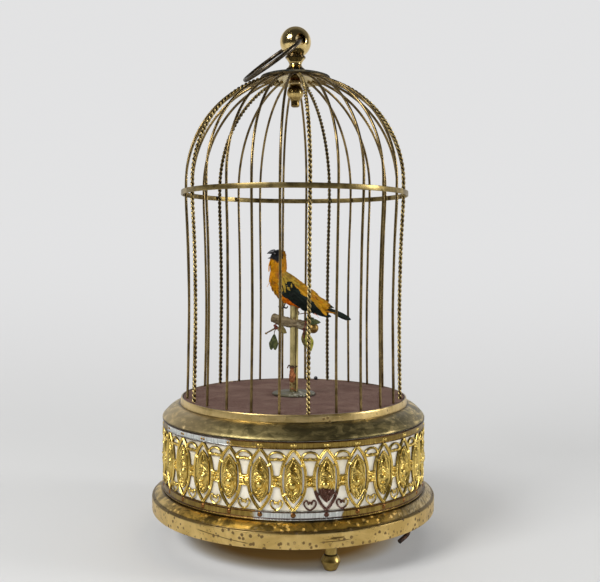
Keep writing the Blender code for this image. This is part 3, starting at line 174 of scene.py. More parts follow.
# %% Turned pieces
def rounded(corners, closed=True, steps=4):
    """A profile (x, z, rounding) with its corners rounded.

    Between the points A and B, one rounding away from the corner C on either side, the curve is
    (1 - s)^2 A + 2 s (1 - s) C + s^2 B.
    """
    places = [np.array(c[:2], float) for c in corners]
    share = np.linspace(0.0, 1.0, steps + 1)[:, None]
    outline = []
    for k, corner in enumerate(corners):
        here = places[k]
        lone = not closed and k in (0, len(corners) - 1)
        if len(corner) < 3 or corner[2] <= 0 or lone:
            outline.append(here[None])
            continue
        before, after = places[k - 1] - here, places[(k + 1) % len(corners)] - here
        reach = [min(corner[2], 0.45 * np.linalg.norm(way)) for way in (before, after)]
        a = here + before / np.linalg.norm(before) * reach[0]
        b = here + after / np.linalg.norm(after) * reach[1]
        outline.append((1 - share) ** 2 * a + 2 * share * (1 - share) * here + share ** 2 * b)
    return np.concatenate(outline)


def turned(profile, steps=192, closed=False, sway=None):
    """A profile (radius, height) swept round the Z axis, up its outer side.

    A point is ((r + sway) sin t, -(r + sway) cos t, z), where sway(t, z) is the dent of a hand
    finished piece. With t rising, the columns run counter-clockwise.
    """
    profile = np.asarray(profile, float)
    t = np.linspace(0.0, TURN, steps, endpoint=False)[None, :]
    radius = profile[:, :1] + 0 * t
    height = profile[:, 1:] + 0 * t
    if sway is not None:
        radius = radius + sway(t, height)
    points = np.stack([radius * np.sin(t), -radius * np.cos(t), height], -1)
    return patch(points, rows_closed=closed)


# %% Wires and mouldings
def swept(path, outline, side, closed=False, ends=True):
    """An outline (a, b) carried along a path.

    With T the direction of the path and S the given side direction, B = T x S made one long and
    N = B x T, and a point is path + a N + b B. The outline runs counter-clockwise.
    """
    path = np.asarray(path, float)
    if closed:
        along = np.roll(path, -1, 0) - np.roll(path, 1, 0)
    else:
        along = np.gradient(path, axis=0)
    along /= np.linalg.norm(along, axis=1)[:, None]
    across = np.cross(along, np.broadcast_to(side, path.shape))
    across /= np.linalg.norm(across, axis=1)[:, None]
    towards = np.cross(across, along)
    a, b = outline[..., 0], outline[..., 1]
    points = path[:, None] + a[..., None] * towards[:, None] + b[..., None] * across[:, None]
    return patch(points, rows_closed=closed, ends=ends and not closed)


def round_wire(path, radius, side, sides=8, closed=False):
    """A wire of one radius, or of one radius for each point of its path."""
    t = np.linspace(0.0, TURN, sides, endpoint=False)
    circle = np.stack([np.cos(t), np.sin(t)], -1)
    widths = np.broadcast_to(np.asarray(radius, float), (len(path),))
    return swept(path, circle[None] * widths[:, None, None], side, closed)


def curve_through(points, count):
    """A smooth curve through a few points, each stretch a cubic whose slope at a point is half the
    step from the point before it to the point after it."""
    points = np.asarray(points, float)
    padded = np.concatenate([[2 * points[0] - points[1]], points, [2 * points[-1] - points[-2]]])
    share = np.linspace(0.0, len(points) - 1, count)
    k = np.minimum(share.astype(int), len(points) - 2)
    s = (share - k)[:, None]
    a, b, c, d = (padded[k + n] for n in range(4))
    return 0.5 * (2 * b + (c - a) * s + (2 * a - 5 * b + 4 * c - d) * s ** 2 + (3 * b - a - 3 * c + d) * s ** 3)


# %% [markdown]
# Metal that has stood on a shelf for decades isn't one colour: it has lacquer that has yellowed and
# brown spots where the lacquer let go; here its recesses are also painted dark, as shade. Blender makes
# such finishes from noise patterns joined by nodes. The small class below names each step of that: a
# noise, spots, a share that rises between two levels, a mix of two colours and a bump.

# %% Finishes from nodes
class Finish:
    """One procedural material; every method adds a node and returns its result."""

    def __init__(self, name, colour=(0.5, 0.5, 0.5), roughness=0.5, metallic=0.0, **sockets):
        self.material = bpy.data.materials.new(name)
        self.material.use_nodes = True
        self.material.diffuse_color = (*colour, 1.0)
        self.tree = self.material.node_tree
        self.shader = self.tree.nodes["Principled BSDF"]
        self.place = self.add("ShaderNodeTexCoord").outputs["Object"]
        self.give("Base Color", colour)
        self.give("Roughness", roughness)
        self.give("Metallic", metallic)
        for socket, value in sockets.items():
            self.give(socket.replace("_", " "), value)

    def add(self, kind, **settings):
        node = self.tree.nodes.new(kind)
        for name, value in settings.items():
            setattr(node, name, value)
        return node

    def join(self, value, socket):
        if isinstance(value, bpy.types.NodeSocket):
            self.tree.links.new(value, socket)
        elif socket.type == "RGBA":
            socket.default_value = (*value[:3], 1.0)
        else:
            socket.default_value = value

    def give(self, name, value):
        self.join(value, self.shader.inputs[name])

    def moved(self, offset=(0.0, 0.0, 0.0), turn=(0.0, 0.0, 0.0), scale=(1.0, 1.0, 1.0), source=None):
        node = self.add("ShaderNodeMapping")
        self.join(self.place if source is None else source, node.inputs["Vector"])
        node.inputs["Location"].default_value = offset
        node.inputs["Rotation"].default_value = turn
        node.inputs["Scale"].default_value = scale
        return node.outputs["Vector"]

    def noise(self, size, detail=3.0, roughness=0.5, distortion=0.0, source=None):
        """A noise from 0 to 1 whose patches are about this size in metres."""
        node = self.add("ShaderNodeTexNoise")
        self.join(self.place if source is None else source, node.inputs["Vector"])
        for name, value in (("Scale", 1 / size), ("Detail", detail), ("Roughness", roughness), ("Distortion", distortion)):
            node.inputs[name].default_value = value
        return node.outputs["Fac"]

    def cells(self, size, feature="F1", source=None):
        """The distance from the middle of the nearest of many random cells of this size."""
        node = self.add("ShaderNodeTexVoronoi", feature=feature)
        self.join(self.place if source is None else source, node.inputs["Vector"])
        node.inputs["Scale"].default_value = 1 / size
        return node.outputs["Distance"]

    def sums(self, operation, a, b=0.0, c=None):
        node = self.add("ShaderNodeMath", operation=operation)
        self.join(a, node.inputs[0])
        self.join(b, node.inputs[1])
        if c is not None:
            self.join(c, node.inputs[2])
        return node.outputs[0]

    def rise(self, value, low, high, to_low=0.0, to_high=1.0):
        """A share that goes from to_low to to_high as the value goes from low to high."""
        node = self.add("ShaderNodeMapRange", clamp=True, interpolation_type="SMOOTHSTEP")
        self.join(value, node.inputs["Value"])
        for name, level in (("From Min", low), ("From Max", high), ("To Min", to_low), ("To Max", to_high)):
            node.inputs[name].default_value = level
        return node.outputs["Result"]

    def mix(self, share, first, second, how="MIX"):
        node = self.add("ShaderNodeMix", data_type="RGBA", blend_type=how)
        self.join(share, node.inputs[0])
        self.join(first, node.inputs[6])
        self.join(second, node.inputs[7])
        return node.outputs[2]

    def axes(self, source=None):
        node = self.add("ShaderNodeSeparateXYZ")
        self.join(self.place if source is None else source, node.inputs[0])
        return node.outputs

    def from_axis(self):
        """The distance from the cage's own upright axis."""
        x, y, _ = self.axes()
        return self.sums("SQRT", self.sums("ADD", self.sums("MULTIPLY", x, x), self.sums("MULTIPLY", y, y)))

    def near(self, point, reach):
        """A share that is 1 at a point and 0 from this distance on."""
        node = self.add("ShaderNodeVectorMath", operation="DISTANCE")
        self.join(self.place, node.inputs[0])
        node.inputs[1].default_value = point
        return self.rise(node.outputs["Value"], 0.35 * reach, reach, 1.0, 0.0)

    def paint(self, name):
        """A colour or number stored on the mesh itself."""
        return self.add("ShaderNodeAttribute", attribute_name=name).outputs

    def bump(self, height, depth, strength=1.0, under=None):
        """A bump this deep, in metres, where the height goes from 0 to 1."""
        node = self.add("ShaderNodeBump")
        node.inputs["Strength"].default_value = strength
        node.inputs["Distance"].default_value = depth
        self.join(height, node.inputs["Height"])
        if under is not None:
            self.join(under, node.inputs["Normal"])
        self.tree.links.new(node.outputs["Normal"], self.shader.inputs["Normal"])
        return node.outputs["Normal"]


# %% [markdown]
# Plain studio: a pale sweep of paper that rises behind the table, one soft light high on the left,
# one lower on the right, and a dim room in front. The room matters as much as the lights, because
# polished brass shows its surroundings: the bright floor below, the dark room level with it.

# %% Floor and backdrop
PAPER = (0.585, 0.585, 0.580)
BACKDROP = (0.765, 0.765, 0.770)
DARK_ROOM = (0.050, 0.050, 0.048)
sweep_profile = rounded([(-2.6, 0.0), (1.15, 0.0, 0.9), (1.75, 2.6)], closed=False, steps=24)
widths = np.linspace(-2.6, 2.6, 9)
along_sweep, across_sweep = np.meshgrid(np.arange(len(sweep_profile)), widths)
sweep_points = np.stack([across_sweep, sweep_profile[along_sweep, 0], sweep_profile[along_sweep, 1]], -1)
paper = Finish("backdrop_paper", PAPER, roughness=0.95)
paper.give("Specular IOR Level", 0.0)
rays = paper.add("ShaderNodeLightPath").outputs
background_rays = paper.sums("MAXIMUM", rays["Is Glossy Ray"], rays["Is Transmission Ray"])
background_rays = paper.sums("MAXIMUM", rays["Is Camera Ray"], background_rays)
_, depth, level = paper.axes()
unlit_front = paper.sums("MULTIPLY", paper.rise(depth, -0.40, -1.10), rays["Is Glossy Ray"])
from_base = paper.from_axis()
# Painted light and shadow: round the base the paper is painted lighter, to lift the shadow there, then warm, and brown
# under the base, for the shadow and the warm light the brass throws down.
bounce_lit_paper = paper.mix(paper.rise(from_base, 0.084, 0.062), PAPER, (0.84, 0.835, 0.825))
bounce_lit_paper = paper.mix(paper.rise(from_base, 0.062, 0.051), bounce_lit_paper, (0.62, 0.52, 0.38))
bounce_and_shadow_paper = paper.mix(paper.rise(from_base, 0.053, 0.042), bounce_lit_paper, (0.44, 0.250, 0.075))
paper.give("Base Color", paper.mix(unlit_front, bounce_and_shadow_paper, (0.09, 0.09, 0.09)))
glow = paper.add("ShaderNodeEmission")
paper.join(paper.mix(paper.rise(level, 0.9, 1.9, 1.0, 0.15), (0.0, 0.0, 0.0), BACKDROP), glow.inputs["Color"])
either = paper.add("ShaderNodeMixShader")
paper.join(paper.sums("MULTIPLY", background_rays, paper.rise(depth, 0.05, 0.95)), either.inputs[0])
paper.tree.links.new(paper.shader.outputs[0], either.inputs[1])
paper.tree.links.new(glow.outputs[0], either.inputs[2])
paper.tree.links.new(either.outputs[0], paper.tree.nodes["Material Output"].inputs["Surface"])
sweep_mesh = bpy.data.meshes.new("backdrop")
flat_points, sweep_quads, _ = patch(sweep_points, columns_closed=False, ends=False)
sweep_mesh.from_pydata(flat_points.tolist(), [], sweep_quads[:, ::-1].tolist())
sweep_mesh.shade_smooth()
sweep_mesh.materials.append(paper.material)
sweep = bpy.data.objects.new("backdrop", sweep_mesh)
bpy.context.scene.collection.objects.link(sweep)
print("paper sweep", sweep_points.shape)

# %% Lights and the room
def soft_light(name, place, aim, size, power, mirrored=True):
    """A rectangular lamp; one that isn't mirrored lights the room without its shape in the polish."""
    lamp = bpy.data.lights.new(name, "AREA")
    lamp.shape = "RECTANGLE"
    lamp.size, lamp.size_y = size
    lamp.energy = power
    made = bpy.data.objects.new(name, lamp)
    bpy.context.scene.collection.objects.link(made)
    made.location = place
    made.rotation_euler = (Vector(place) - Vector(aim)).to_track_quat("Z", "Y").to_euler()
    made.visible_glossy = mirrored
    return made


soft_light("key_light", (-0.95, -0.85, 1.00), (0.0, 0.0, 0.12), (0.62, 0.55), 17.0)
soft_light("side_light", (1.35, -0.25, 0.50), (0.0, 0.0, 0.12), (0.30, 0.45), 7.0)
soft_light("top_light", (0.0, 0.25, 1.60), (0.0, 0.05, 0.0), (1.60, 1.40), 9.2, mirrored=False)
soft_light("fill_light", (0.35, -1.60, 0.35), (0.0, 0.0, 0.05), (1.80, 0.70), 13.0, mirrored=False)

world = bpy.data.worlds.new("room")
world.use_nodes = True
bpy.context.scene.world = world
room = world.node_tree


def room_step(kind, *values, **settings):
    """One node of the room; a value is a socket, a colour or a number, for the inputs in their order."""
    node = room.nodes.new(kind)
    for name, value in settings.items():
        setattr(node, name, value)
    for socket, value in zip([s for s in node.inputs if s.enabled], values):
        if isinstance(value, bpy.types.NodeSocket):
            room.links.new(value, socket)
        elif value is not None:
            socket.default_value = (*value, 1.0) if isinstance(value, tuple) else value
    return [s for s in node.outputs if s.enabled]


direction = room.nodes.new("ShaderNodeTexCoord").outputs["Generated"]
behind = room_step("ShaderNodeMapRange", room_step("ShaderNodeSeparateXYZ", direction)[1], -0.10, 0.90)[0]
rays = room.nodes.new("ShaderNodeLightPath").outputs
mirrored = room_step("ShaderNodeMath", rays["Is Glossy Ray"], behind, operation="MULTIPLY")[0]
mirrored = room_step("ShaderNodeMath", mirrored, 0.45, operation="MULTIPLY")[0]
through = room_step("ShaderNodeMath", rays["Is Camera Ray"], rays["Is Transmission Ray"], operation="MAXIMUM")[0]
shown = room_step("ShaderNodeMath", mirrored, through, operation="MAXIMUM")[0]
lit_by = room_step("ShaderNodeMix", rays["Is Diffuse Ray"], DARK_ROOM, (0.36, 0.36, 0.36), data_type="RGBA")[0]
seen_room = room_step("ShaderNodeMix", shown, lit_by, BACKDROP, data_type="RGBA")[0]
room.links.new(seen_room, room.nodes["Background"].inputs["Color"])
room.nodes["Background"].inputs["Strength"].default_value = 1.0

# %% [markdown]
# The base is drawn brass sheet under a thin gilt lacquer. Where the lacquer has let go the brass
# has gone brown in round spots, and the sloping shoulder above the skirt, which hands and dusters
# reach less, has gone to a streaky bronze. One function makes all these sheets: it mixes a bright and
# a dull tone by a slow noise, then adds the spots, small pits and fine scratches.

# %% Aged brass
GALLERY_RADIUS = 71.7 * mm
GILT = (0.74, 0.53, 0.20)
SPOT_BROWN = (0.130, 0.078, 0.020)


def unrolled(made, squeeze=(1.0, 1.0, 1.0)):
    """A point's place on the base as if it were unrolled: its angle times the radius, and its height."""
    x, y, z = made.axes()
    angle = made.sums("ARCTAN2", x, made.sums("MULTIPLY", y, -1.0))
    node = made.add("ShaderNodeCombineXYZ")
    made.join(made.sums("MULTIPLY", angle, GALLERY_RADIUS), node.inputs[0])
    made.join(z, node.inputs[2])
    return made.moved(scale=squeeze, source=node.outputs[0])


def aged_brass(name, bright, dull, spotting=0.5, roughness=0.32, patch_size=0.014, streak=1.0):
    """Sheet brass: two tones, brown spots with pits, and brushed streaks along its height or round it."""
    made = Finish(name, bright, roughness, 1.0)
    slow = made.noise(patch_size, 5.0, 0.62, 0.6)
    streaks = made.noise(0.004, 3.0, 0.6, 0.3, made.moved(scale=(1.0, 1.0, streak)))
    tone = made.mix(made.rise(slow, 0.36, 0.62), dull, bright)
    tone = made.mix(made.rise(streaks, 0.30, 0.75, 0.0, 0.45), tone, dull)
    ragged = made.sums("MULTIPLY_ADD", made.noise(0.0012, 2.0), 0.35, made.cells(0.0030))
    small = made.sums("MULTIPLY_ADD", made.noise(0.0008, 2.0), 0.30, made.cells(0.0016))
    here = made.noise(0.016, 3.0, 0.6, 0.4, made.moved((0.3, 0.1, 0.2)))
    here = made.rise(here, 0.66 - 0.26 * spotting, 0.70 - 0.16 * spotting)
    spots = made.sums("MULTIPLY", made.rise(ragged, 0.50, 0.38), here)
    pits = made.sums("MULTIPLY", made.rise(small, 0.34, 0.24), made.rise(slow, 0.66, 0.40))
    marks = made.sums("MAXIMUM", spots, made.sums("MULTIPLY", pits, 0.8))
    made.tone = made.mix(marks, tone, SPOT_BROWN)
    made.marks = marks
    made.give("Base Color", made.tone)
    made.give("Metallic", made.rise(marks, 0.0, 1.0, 1.0, 0.35))
    fine = made.noise(0.0007, 2.0, 0.6)
    rough = made.sums("MULTIPLY_ADD", slow, 0.16, roughness - 0.08)
    made.give("Roughness", made.sums("ADD", rough, made.sums("MULTIPLY", marks, 0.25)))
    made.height = made.sums("SUBTRACT", made.sums("MULTIPLY", fine, 0.25), made.sums("MULTIPLY", marks, 0.6))
    made.bump(made.height, 0.00012, 0.55)
    return made


def dents(depth, seed, waves=5):
    """The slow unevenness of thin sheet: a sum of waves round the piece, the k-th one depth / k high."""
    phases = np.random.default_rng(seed).uniform(0, TURN, waves)
    return lambda t, z: depth * sum(np.sin((k + 2) * t + phases[k] + 90 * z) / (k + 1) for k in range(waves))

# %% Base flange
SHEET = 0.8 * mm
flange_low, flange_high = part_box("base_flange")
base_radius, skirt_low, seat_top = flange_high.x, flange_low.z, flange_high.z
skirt_top = skirt_low + 8.0 * mm
print("skirt radius", round(base_radius / mm, 2), "from", round(skirt_low / mm, 2), "to", round(skirt_top / mm, 2))

brass = aged_brass("skirt_brass", (0.80, 0.58, 0.225), (0.56, 0.38, 0.12), 1.35, 0.40, 0.016, 0.4)
height = brass.axes()[2]
scratches = brass.noise(0.0017, 3.0, 0.6, 0.0, unrolled(brass, (0.13, 1.0, 1.0)))
scratched = brass.sums("MULTIPLY", brass.rise(scratches, 0.625, 0.68),
                       brass.rise(brass.noise(0.020, 2.0), 0.43, 0.53, 0.0, 0.9))
x_brass, y_brass, _ = brass.axes()
for x_from, z_from, x_to, z_to in ((-47.4, 5.0, -20.0, 2.0), (11.7, 3.3, 28.2, 3.8)):
    slope = (z_to - z_from) / (x_to - x_from)
    on_line = brass.sums("MULTIPLY_ADD", x_brass, slope, skirt_low + (z_from - slope * x_from) * mm)
    off_line = brass.sums("MULTIPLY_ADD", scratches, 0.9 * mm, brass.sums("SUBTRACT", height, on_line))
    off_line = brass.sums("ABSOLUTE", brass.sums("SUBTRACT", off_line, 0.45 * mm))
    along = brass.sums("ABSOLUTE", brass.sums("SUBTRACT", x_brass, 0.5 * (x_from + x_to) * mm))
    half = 0.5 * (x_to - x_from) * mm
    cut = brass.sums("MULTIPLY", brass.rise(off_line, 0.34 * mm, 0.14 * mm), brass.rise(along, half, half - 3 * mm))
    cut = brass.sums("MULTIPLY", cut, brass.rise(y_brass, 0.0, -0.02, 0.0, 0.85))
    scratched = brass.sums("MAXIMUM", scratched, cut)
tone = brass.mix(scratched, brass.tone, (0.095, 0.055, 0.018))
clouds = brass.noise(0.0085, 5.0, 0.66, 1.6, unrolled(brass, (0.5, 1.0, 1.0)))
bronze = brass.mix(brass.rise(clouds, 0.40, 0.60), (0.150, 0.098, 0.024), (0.78, 0.47, 0.090))
hand_side = brass.rise(brass.axes()[0], 38 * mm, 66 * mm)
striped = brass.noise(0.0020, 3.0, 0.6, 2.0, brass.moved(turn=(0.0, 0.0, 0.7), scale=(1.0, 0.2, 0.3)))
grey = brass.mix(brass.rise(striped, 0.40, 0.60), (0.23, 0.175, 0.085), (0.62, 0.51, 0.30))
bronze = brass.mix(brass.sums("MULTIPLY", hand_side, 0.85), bronze, grey)
tan_side = brass.rise(brass.axes()[0], -50 * mm, -68 * mm, 0.0, 0.75)
bronze = brass.mix(tan_side, bronze, brass.mix(brass.rise(clouds, 0.42, 0.62), (0.25, 0.180, 0.064), (0.66, 0.51, 0.22)))
shoulder = brass.rise(height, skirt_top + 0.1 * mm, skirt_top + 0.5 * mm)
tone = brass.mix(shoulder, tone, bronze)
# Painted shade: a dark line along the step under the shoulder's edge, and another on the seat where the gallery stands.
step_line = brass.sums("MULTIPLY", brass.rise(height, skirt_top - 0.85 * mm, skirt_top - 0.25 * mm),
                       brass.rise(height, skirt_top + 0.9 * mm, skirt_top + 0.4 * mm))
root_line = brass.rise(height, seat_top - 0.40 * mm, seat_top - 0.10 * mm)
painted_step_and_root_shade = brass.sums("MULTIPLY", brass.sums("MAXIMUM", step_line, root_line), 0.72)
brass.give("Base Color", brass.mix(painted_step_and_root_shade, tone, (0.035, 0.022, 0.010)))

flange_profile = rounded([
    (base_radius - 0.9 * SHEET, skirt_low + 0.2 * mm, 0.3 * mm),
    (base_radius - 0.3 * SHEET, skirt_low - 0.0 * mm, 0.4 * mm),
    (base_radius + 0.00 * mm, skirt_low + 0.7 * mm, 0.5 * mm),
    (base_radius - 0.05 * mm, skirt_low + 4.0 * mm, 1.5 * mm),
    (base_radius + 0.00 * mm, skirt_top - 0.3 * mm, 0.8 * mm),
    (base_radius - 0.75 * mm, skirt_top + 0.22 * mm, 0.3 * mm),
    (base_radius - 1.00 * mm, skirt_top + 0.02 * mm, 0.2 * mm),
    (base_radius - 1.30 * mm, skirt_top + 0.45 * mm, 0.5 * mm),
    (base_radius - 3.10 * mm, skirt_top + 2.30 * mm, 1.6 * mm),
    (GALLERY_RADIUS + 0.6 * mm, seat_top, 1.0 * mm),
    (GALLERY_RADIUS - 4.0 * mm, seat_top, 0.2 * mm),
    (GALLERY_RADIUS - 4.0 * mm, seat_top - SHEET, 0.2 * mm),
    (GALLERY_RADIUS + 0.3 * mm, seat_top - SHEET, 1.0 * mm),
    (base_radius - 2.2 * mm, skirt_top - 0.1 * mm, 1.0 * mm),
    (base_radius - SHEET, skirt_top - 1.6 * mm, 1.0 * mm),
])
piece("flange", turned(flange_profile, 320, True, dents(0.07 * mm, 3)), brass.material,
      replaces=["base_flange"])

# %% [markdown]
# Three small turned feet stand under the edge. One shows below the skirt: a neck, a round belly and
# a smaller sole. They are bright where the lathe tool polished them, with painted shade in the neck and at the sole.

# %% Feet
foot_finish = aged_brass("foot_brass", (0.60, 0.43, 0.140), (0.33, 0.225, 0.065), 0.35, 0.36, 0.006)
z_foot = foot_finish.axes()[2]
# Painted shade: a dark ring in the neck under the collar, and a dark band at the sole where it meets the floor.
neck_shade = foot_finish.rise(foot_finish.sums("ABSOLUTE", foot_finish.sums("SUBTRACT", z_foot, 7.85 * mm)),
                          0.25 * mm, 0.60 * mm, 0.85, 0.0)
sole_shade = foot_finish.rise(z_foot, 0.9 * mm, 0.1 * mm, 0.0, 0.8)
foot_finish.give("Base Color", foot_finish.mix(foot_finish.sums("MAXIMUM", neck_shade, sole_shade),
                                               foot_finish.tone, (0.035, 0.022, 0.009)))
FOOT_PROFILE = np.array([
    (0.05, 0.0, 0.0), (2.85, 0.0, 0.25), (3.20, 0.45, 0.3), (4.10, 2.45, 0.9), (4.98, 4.45, 0.7), (4.75, 5.15, 0.7),
    (4.05, 6.50, 0.5), (3.55, 7.20, 0.4), (3.10, 7.75, 0.2), (2.85, 7.90, 0.1), (3.12, 8.15, 0.2), (3.05, 16.6, 0.2),
    (0.05, 17.0, 0.0),
]) * mm
for number in (1, 2, 3):
    low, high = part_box(f"foot_{number}")
    points, quads, triangles = turned(rounded(FOOT_PROFILE, closed=False), 40)
    points = points + np.array([(low.x + high.x) / 2, (low.y + high.y) / 2, low.z])
    piece(f"turned_foot_{number}", (points, quads, triangles), foot_finish.material,
          replaces=[f"foot_{number}"])

# %% [markdown]
# The gallery is one stamped and pierced strip, bent into a ring: 28 upright pointed ovals between
# two plain edges. It is easiest to draw flat. There u runs along the strip, z is the height and n
# stands out of the sheet, and a last step bends the flat drawing round the base. Behind it stands a
# plain cylinder in ivory lacquer, which is what shows as white through the piercing.

# %% The flat drawing and the bend
CELLS = 28
PITCH = TURN / CELLS
OVAL_HEIGHT = 14.6 * mm
OVAL_WIDTH = 5.95 * mm
PLATE_HEIGHT = 10.9 * mm
PLATE_WIDTH = 4.30 * mm
band_low, band_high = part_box("filigree_band")
OVAL_MIDDLE = band_low.z + 19.4 * mm
SHEET_FACE = GALLERY_RADIUS - 0.75 * mm


def bent(points, cell=0.0):
    """The flat point (u, z, n) of a cell on the ring.

    Its angle is cell * PITCH + u / R, and its distance from the axis is that of the sheet plus n.
    """
    angle = cell * PITCH + points[..., 0] / GALLERY_RADIUS
    radius = SHEET_FACE + points[..., 2]
    return np.stack([radius * np.sin(angle), -radius * np.cos(angle), points[..., 1]], -1)


def all_round(flat_shape, cells=range(CELLS), half=0.0):
    """A flat patch bent into each cell, or half a cell further on."""
    return copies(flat_shape, [lambda p, k=k: bent(p, k + half) for k in cells])


def flat_wire(points, radius, count=14, sides=6, out=0.30):
    """A raised wire through a few points (u, z) in mm, this far out of the sheet."""
    line = curve_through(np.array(points, float) * mm, count)
    path = np.column_stack([line[:, 0], OVAL_MIDDLE + line[:, 1], np.full(count, out * mm)])
    return round_wire(path, radius * mm, (0.0, 0.0, 1.0), sides)


def flat_dome(u, z, radius, height, sides=12, rings=5):
    """Half a round bead on the sheet, its rows from the rim up to near the pole."""
    a = np.linspace(-0.25, math.pi / 2 - 0.12, rings)[:, None]
    t = np.linspace(0.0, TURN, sides, endpoint=False)[None, :]
    reach = radius * mm * np.cos(a)
    points = np.stack([u * mm + reach * np.cos(t), OVAL_MIDDLE + z * mm + reach * np.sin(t),
                       (0.15 * mm + height * mm * np.sin(a)) + 0 * t], -1)
    return patch(points)


def oval_half_width(t, width, power=2.4):
    """Half the width of a pointed oval at the share t of its half height: width * (1 - |t| ^ power)."""
    return width * (1 - np.abs(t) ** power)


BOTTOM_WEAR = (14.5 * mm, -70.2 * mm, OVAL_MIDDLE - 15.2 * mm)

# %% Gallery gilt
gold = Finish("gallery_gilt", GILT, 0.3, 1.0)
slow = gold.noise(0.010, 4.0, 0.6, 0.5)
speckle = gold.noise(0.0016, 3.0, 0.6)
# Painted shade: the sheet between the raised parts, down in the recesses, is painted dark in ragged speckles.
out_of_sheet = gold.rise(gold.from_axis(), SHEET_FACE - 0.05 * mm, SHEET_FACE + 0.62 * mm)
recess_shade = gold.sums("SUBTRACT", 1.05, gold.sums("ADD", out_of_sheet, gold.sums("MULTIPLY", speckle, 0.45)))
recess_shade = gold.rise(recess_shade, 0.18, 0.80)
tone = gold.mix(gold.rise(slow, 0.35, 0.65), (0.66, 0.47, 0.115), (0.88, 0.66, 0.200))
tone = gold.mix(recess_shade, tone, (0.175, 0.112, 0.022))
worn = gold.sums("MULTIPLY_ADD", gold.noise(0.0045, 3.0, 0.6, 0.6), 0.8, gold.near(BOTTOM_WEAR, 0.0170))
worn = gold.rise(worn, 0.76, 0.96)
z_gold = gold.axes()[2]
dark_beads = gold.rise(z_gold, OVAL_MIDDLE - 15.2 * mm, OVAL_MIDDLE - 15.6 * mm)
upper_beads = gold.sums("MULTIPLY", gold.rise(z_gold, OVAL_MIDDLE + 15.4 * mm, OVAL_MIDDLE + 15.7 * mm),
                        gold.rise(gold.near((-52 * mm, -49 * mm, 63 * mm), 0.036), 0.2, 0.4, 0.0, 0.8))
worn = gold.sums("MULTIPLY", worn, gold.rise(speckle, 0.18, 0.36, 0.55, 1.0))
tone = gold.mix(gold.sums("MAXIMUM", dark_beads, upper_beads), tone, (0.26, 0.115, 0.035))
tone = gold.mix(worn, tone, (0.070, 0.026, 0.015))
gold.give("Base Color", tone)
gold.give("Metallic", gold.rise(worn, 0.0, 1.0, 1.0, 0.45))
gold.give("Roughness", gold.sums("ADD", gold.sums("MULTIPLY", recess_shade, 0.16), gold.sums("MULTIPLY_ADD", slow, 0.10, 0.25)))
gold.bump(gold.noise(0.0005, 2.0, 0.6), 0.00006, 0.5)

# %% Liner
liner_low, liner_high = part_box("band_liner")
ivory = Finish("ivory_lacquer", (0.78, 0.74, 0.64), 0.42, 0.0)
yellowing = ivory.noise(0.018, 4.0, 0.6)
dust = ivory.noise(0.0015, 3.0, 0.6)
tone = ivory.mix(ivory.rise(yellowing, 0.35, 0.65), (0.72, 0.68, 0.585), (0.63, 0.57, 0.43))
ivory.give("Base Color", ivory.mix(ivory.rise(dust, 0.52, 0.80, 0.0, 0.35), tone, (0.45, 0.38, 0.26)))
ivory.give("Roughness", ivory.rise(dust, 0.3, 0.8, 0.35, 0.55))
ivory.bump(yellowing, 0.0002, 0.3)
liner_radius = liner_high.x
liner_profile = [
    (liner_radius, liner_low.z), (liner_radius, liner_high.z),
    (liner_radius - SHEET, liner_high.z), (liner_radius - SHEET, liner_low.z),
]
piece("ivory_liner", turned(liner_profile, 256, True), ivory.material, replaces=["band_liner"])

# %% [markdown]
# The two plain edges hold the ovals. Their gilding has rubbed off in places down to the silvery
# metal beneath, at the upper left and at the bottom in front, and each has a row of small beads, one
# at the point of every oval.

# %% Edge strips
strip = aged_brass("strip_gilt", (0.42, 0.290, 0.074), (0.23, 0.150, 0.036), 0.45, 0.34, 0.009, 0.25)
level = strip.axes()[2]
upper_left = strip.near((-52 * mm, -49 * mm, 63 * mm), 0.036)
rubbed = strip.sums("MAXIMUM", upper_left, strip.near((3 * mm, -71.5 * mm, 29 * mm), 0.030))
ragged = strip.noise(0.006, 4.0, 0.65, 0.5, unrolled(strip, (0.4, 1.0, 0.4)))
rubbed = strip.rise(strip.sums("MULTIPLY_ADD", ragged, 0.9, rubbed), 0.78, 0.90)
flutes = strip.noise(0.00075, 1.0, 0.5, 0.0, unrolled(strip, (1.0, 1.0, 0.06)))
fluted = strip.rise(flutes, 0.42, 0.60)
tone = strip.mix(strip.sums("MULTIPLY", fluted, 0.55), strip.tone, (0.17, 0.105, 0.022))
silver = strip.mix(strip.sums("MULTIPLY", fluted, 0.45), (0.72, 0.74, 0.71), (0.34, 0.35, 0.33))
tone = strip.mix(rubbed, tone, silver)
ribs = [band_high.z - 0.25 * mm, band_high.z - 3.45 * mm, band_low.z + 4.15 * mm, band_low.z + 0.98 * mm]
for place in ribs:
    line = strip.rise(strip.sums("ABSOLUTE", strip.sums("SUBTRACT", level, place)), 0.22 * mm, 0.42 * mm, 0.9, 0.0)
    tone = strip.mix(line, tone, (0.070, 0.028, 0.014))
strip.give("Base Color", tone)
strip.bump(strip.sums("ADD", strip.height, strip.sums("MULTIPLY", fluted, -1.0)), 0.00010, 0.6)
top_strip = rounded([
    (71.00 * mm, band_high.z - 3.75 * mm, 0.1 * mm), (71.72 * mm, band_high.z - 3.55 * mm, 0.2 * mm),
    (71.72 * mm, band_high.z - 3.05 * mm, 0.2 * mm), (71.38 * mm, band_high.z - 2.85 * mm, 0.2 * mm),
    (71.42 * mm, band_high.z - 0.70 * mm, 0.2 * mm), (71.68 * mm, band_high.z - 0.45 * mm, 0.2 * mm),
    (71.60 * mm, band_high.z, 0.2 * mm), (70.90 * mm, band_high.z, 0.1 * mm), (70.90 * mm, band_high.z - 3.75 * mm, 0.1 * mm),
])
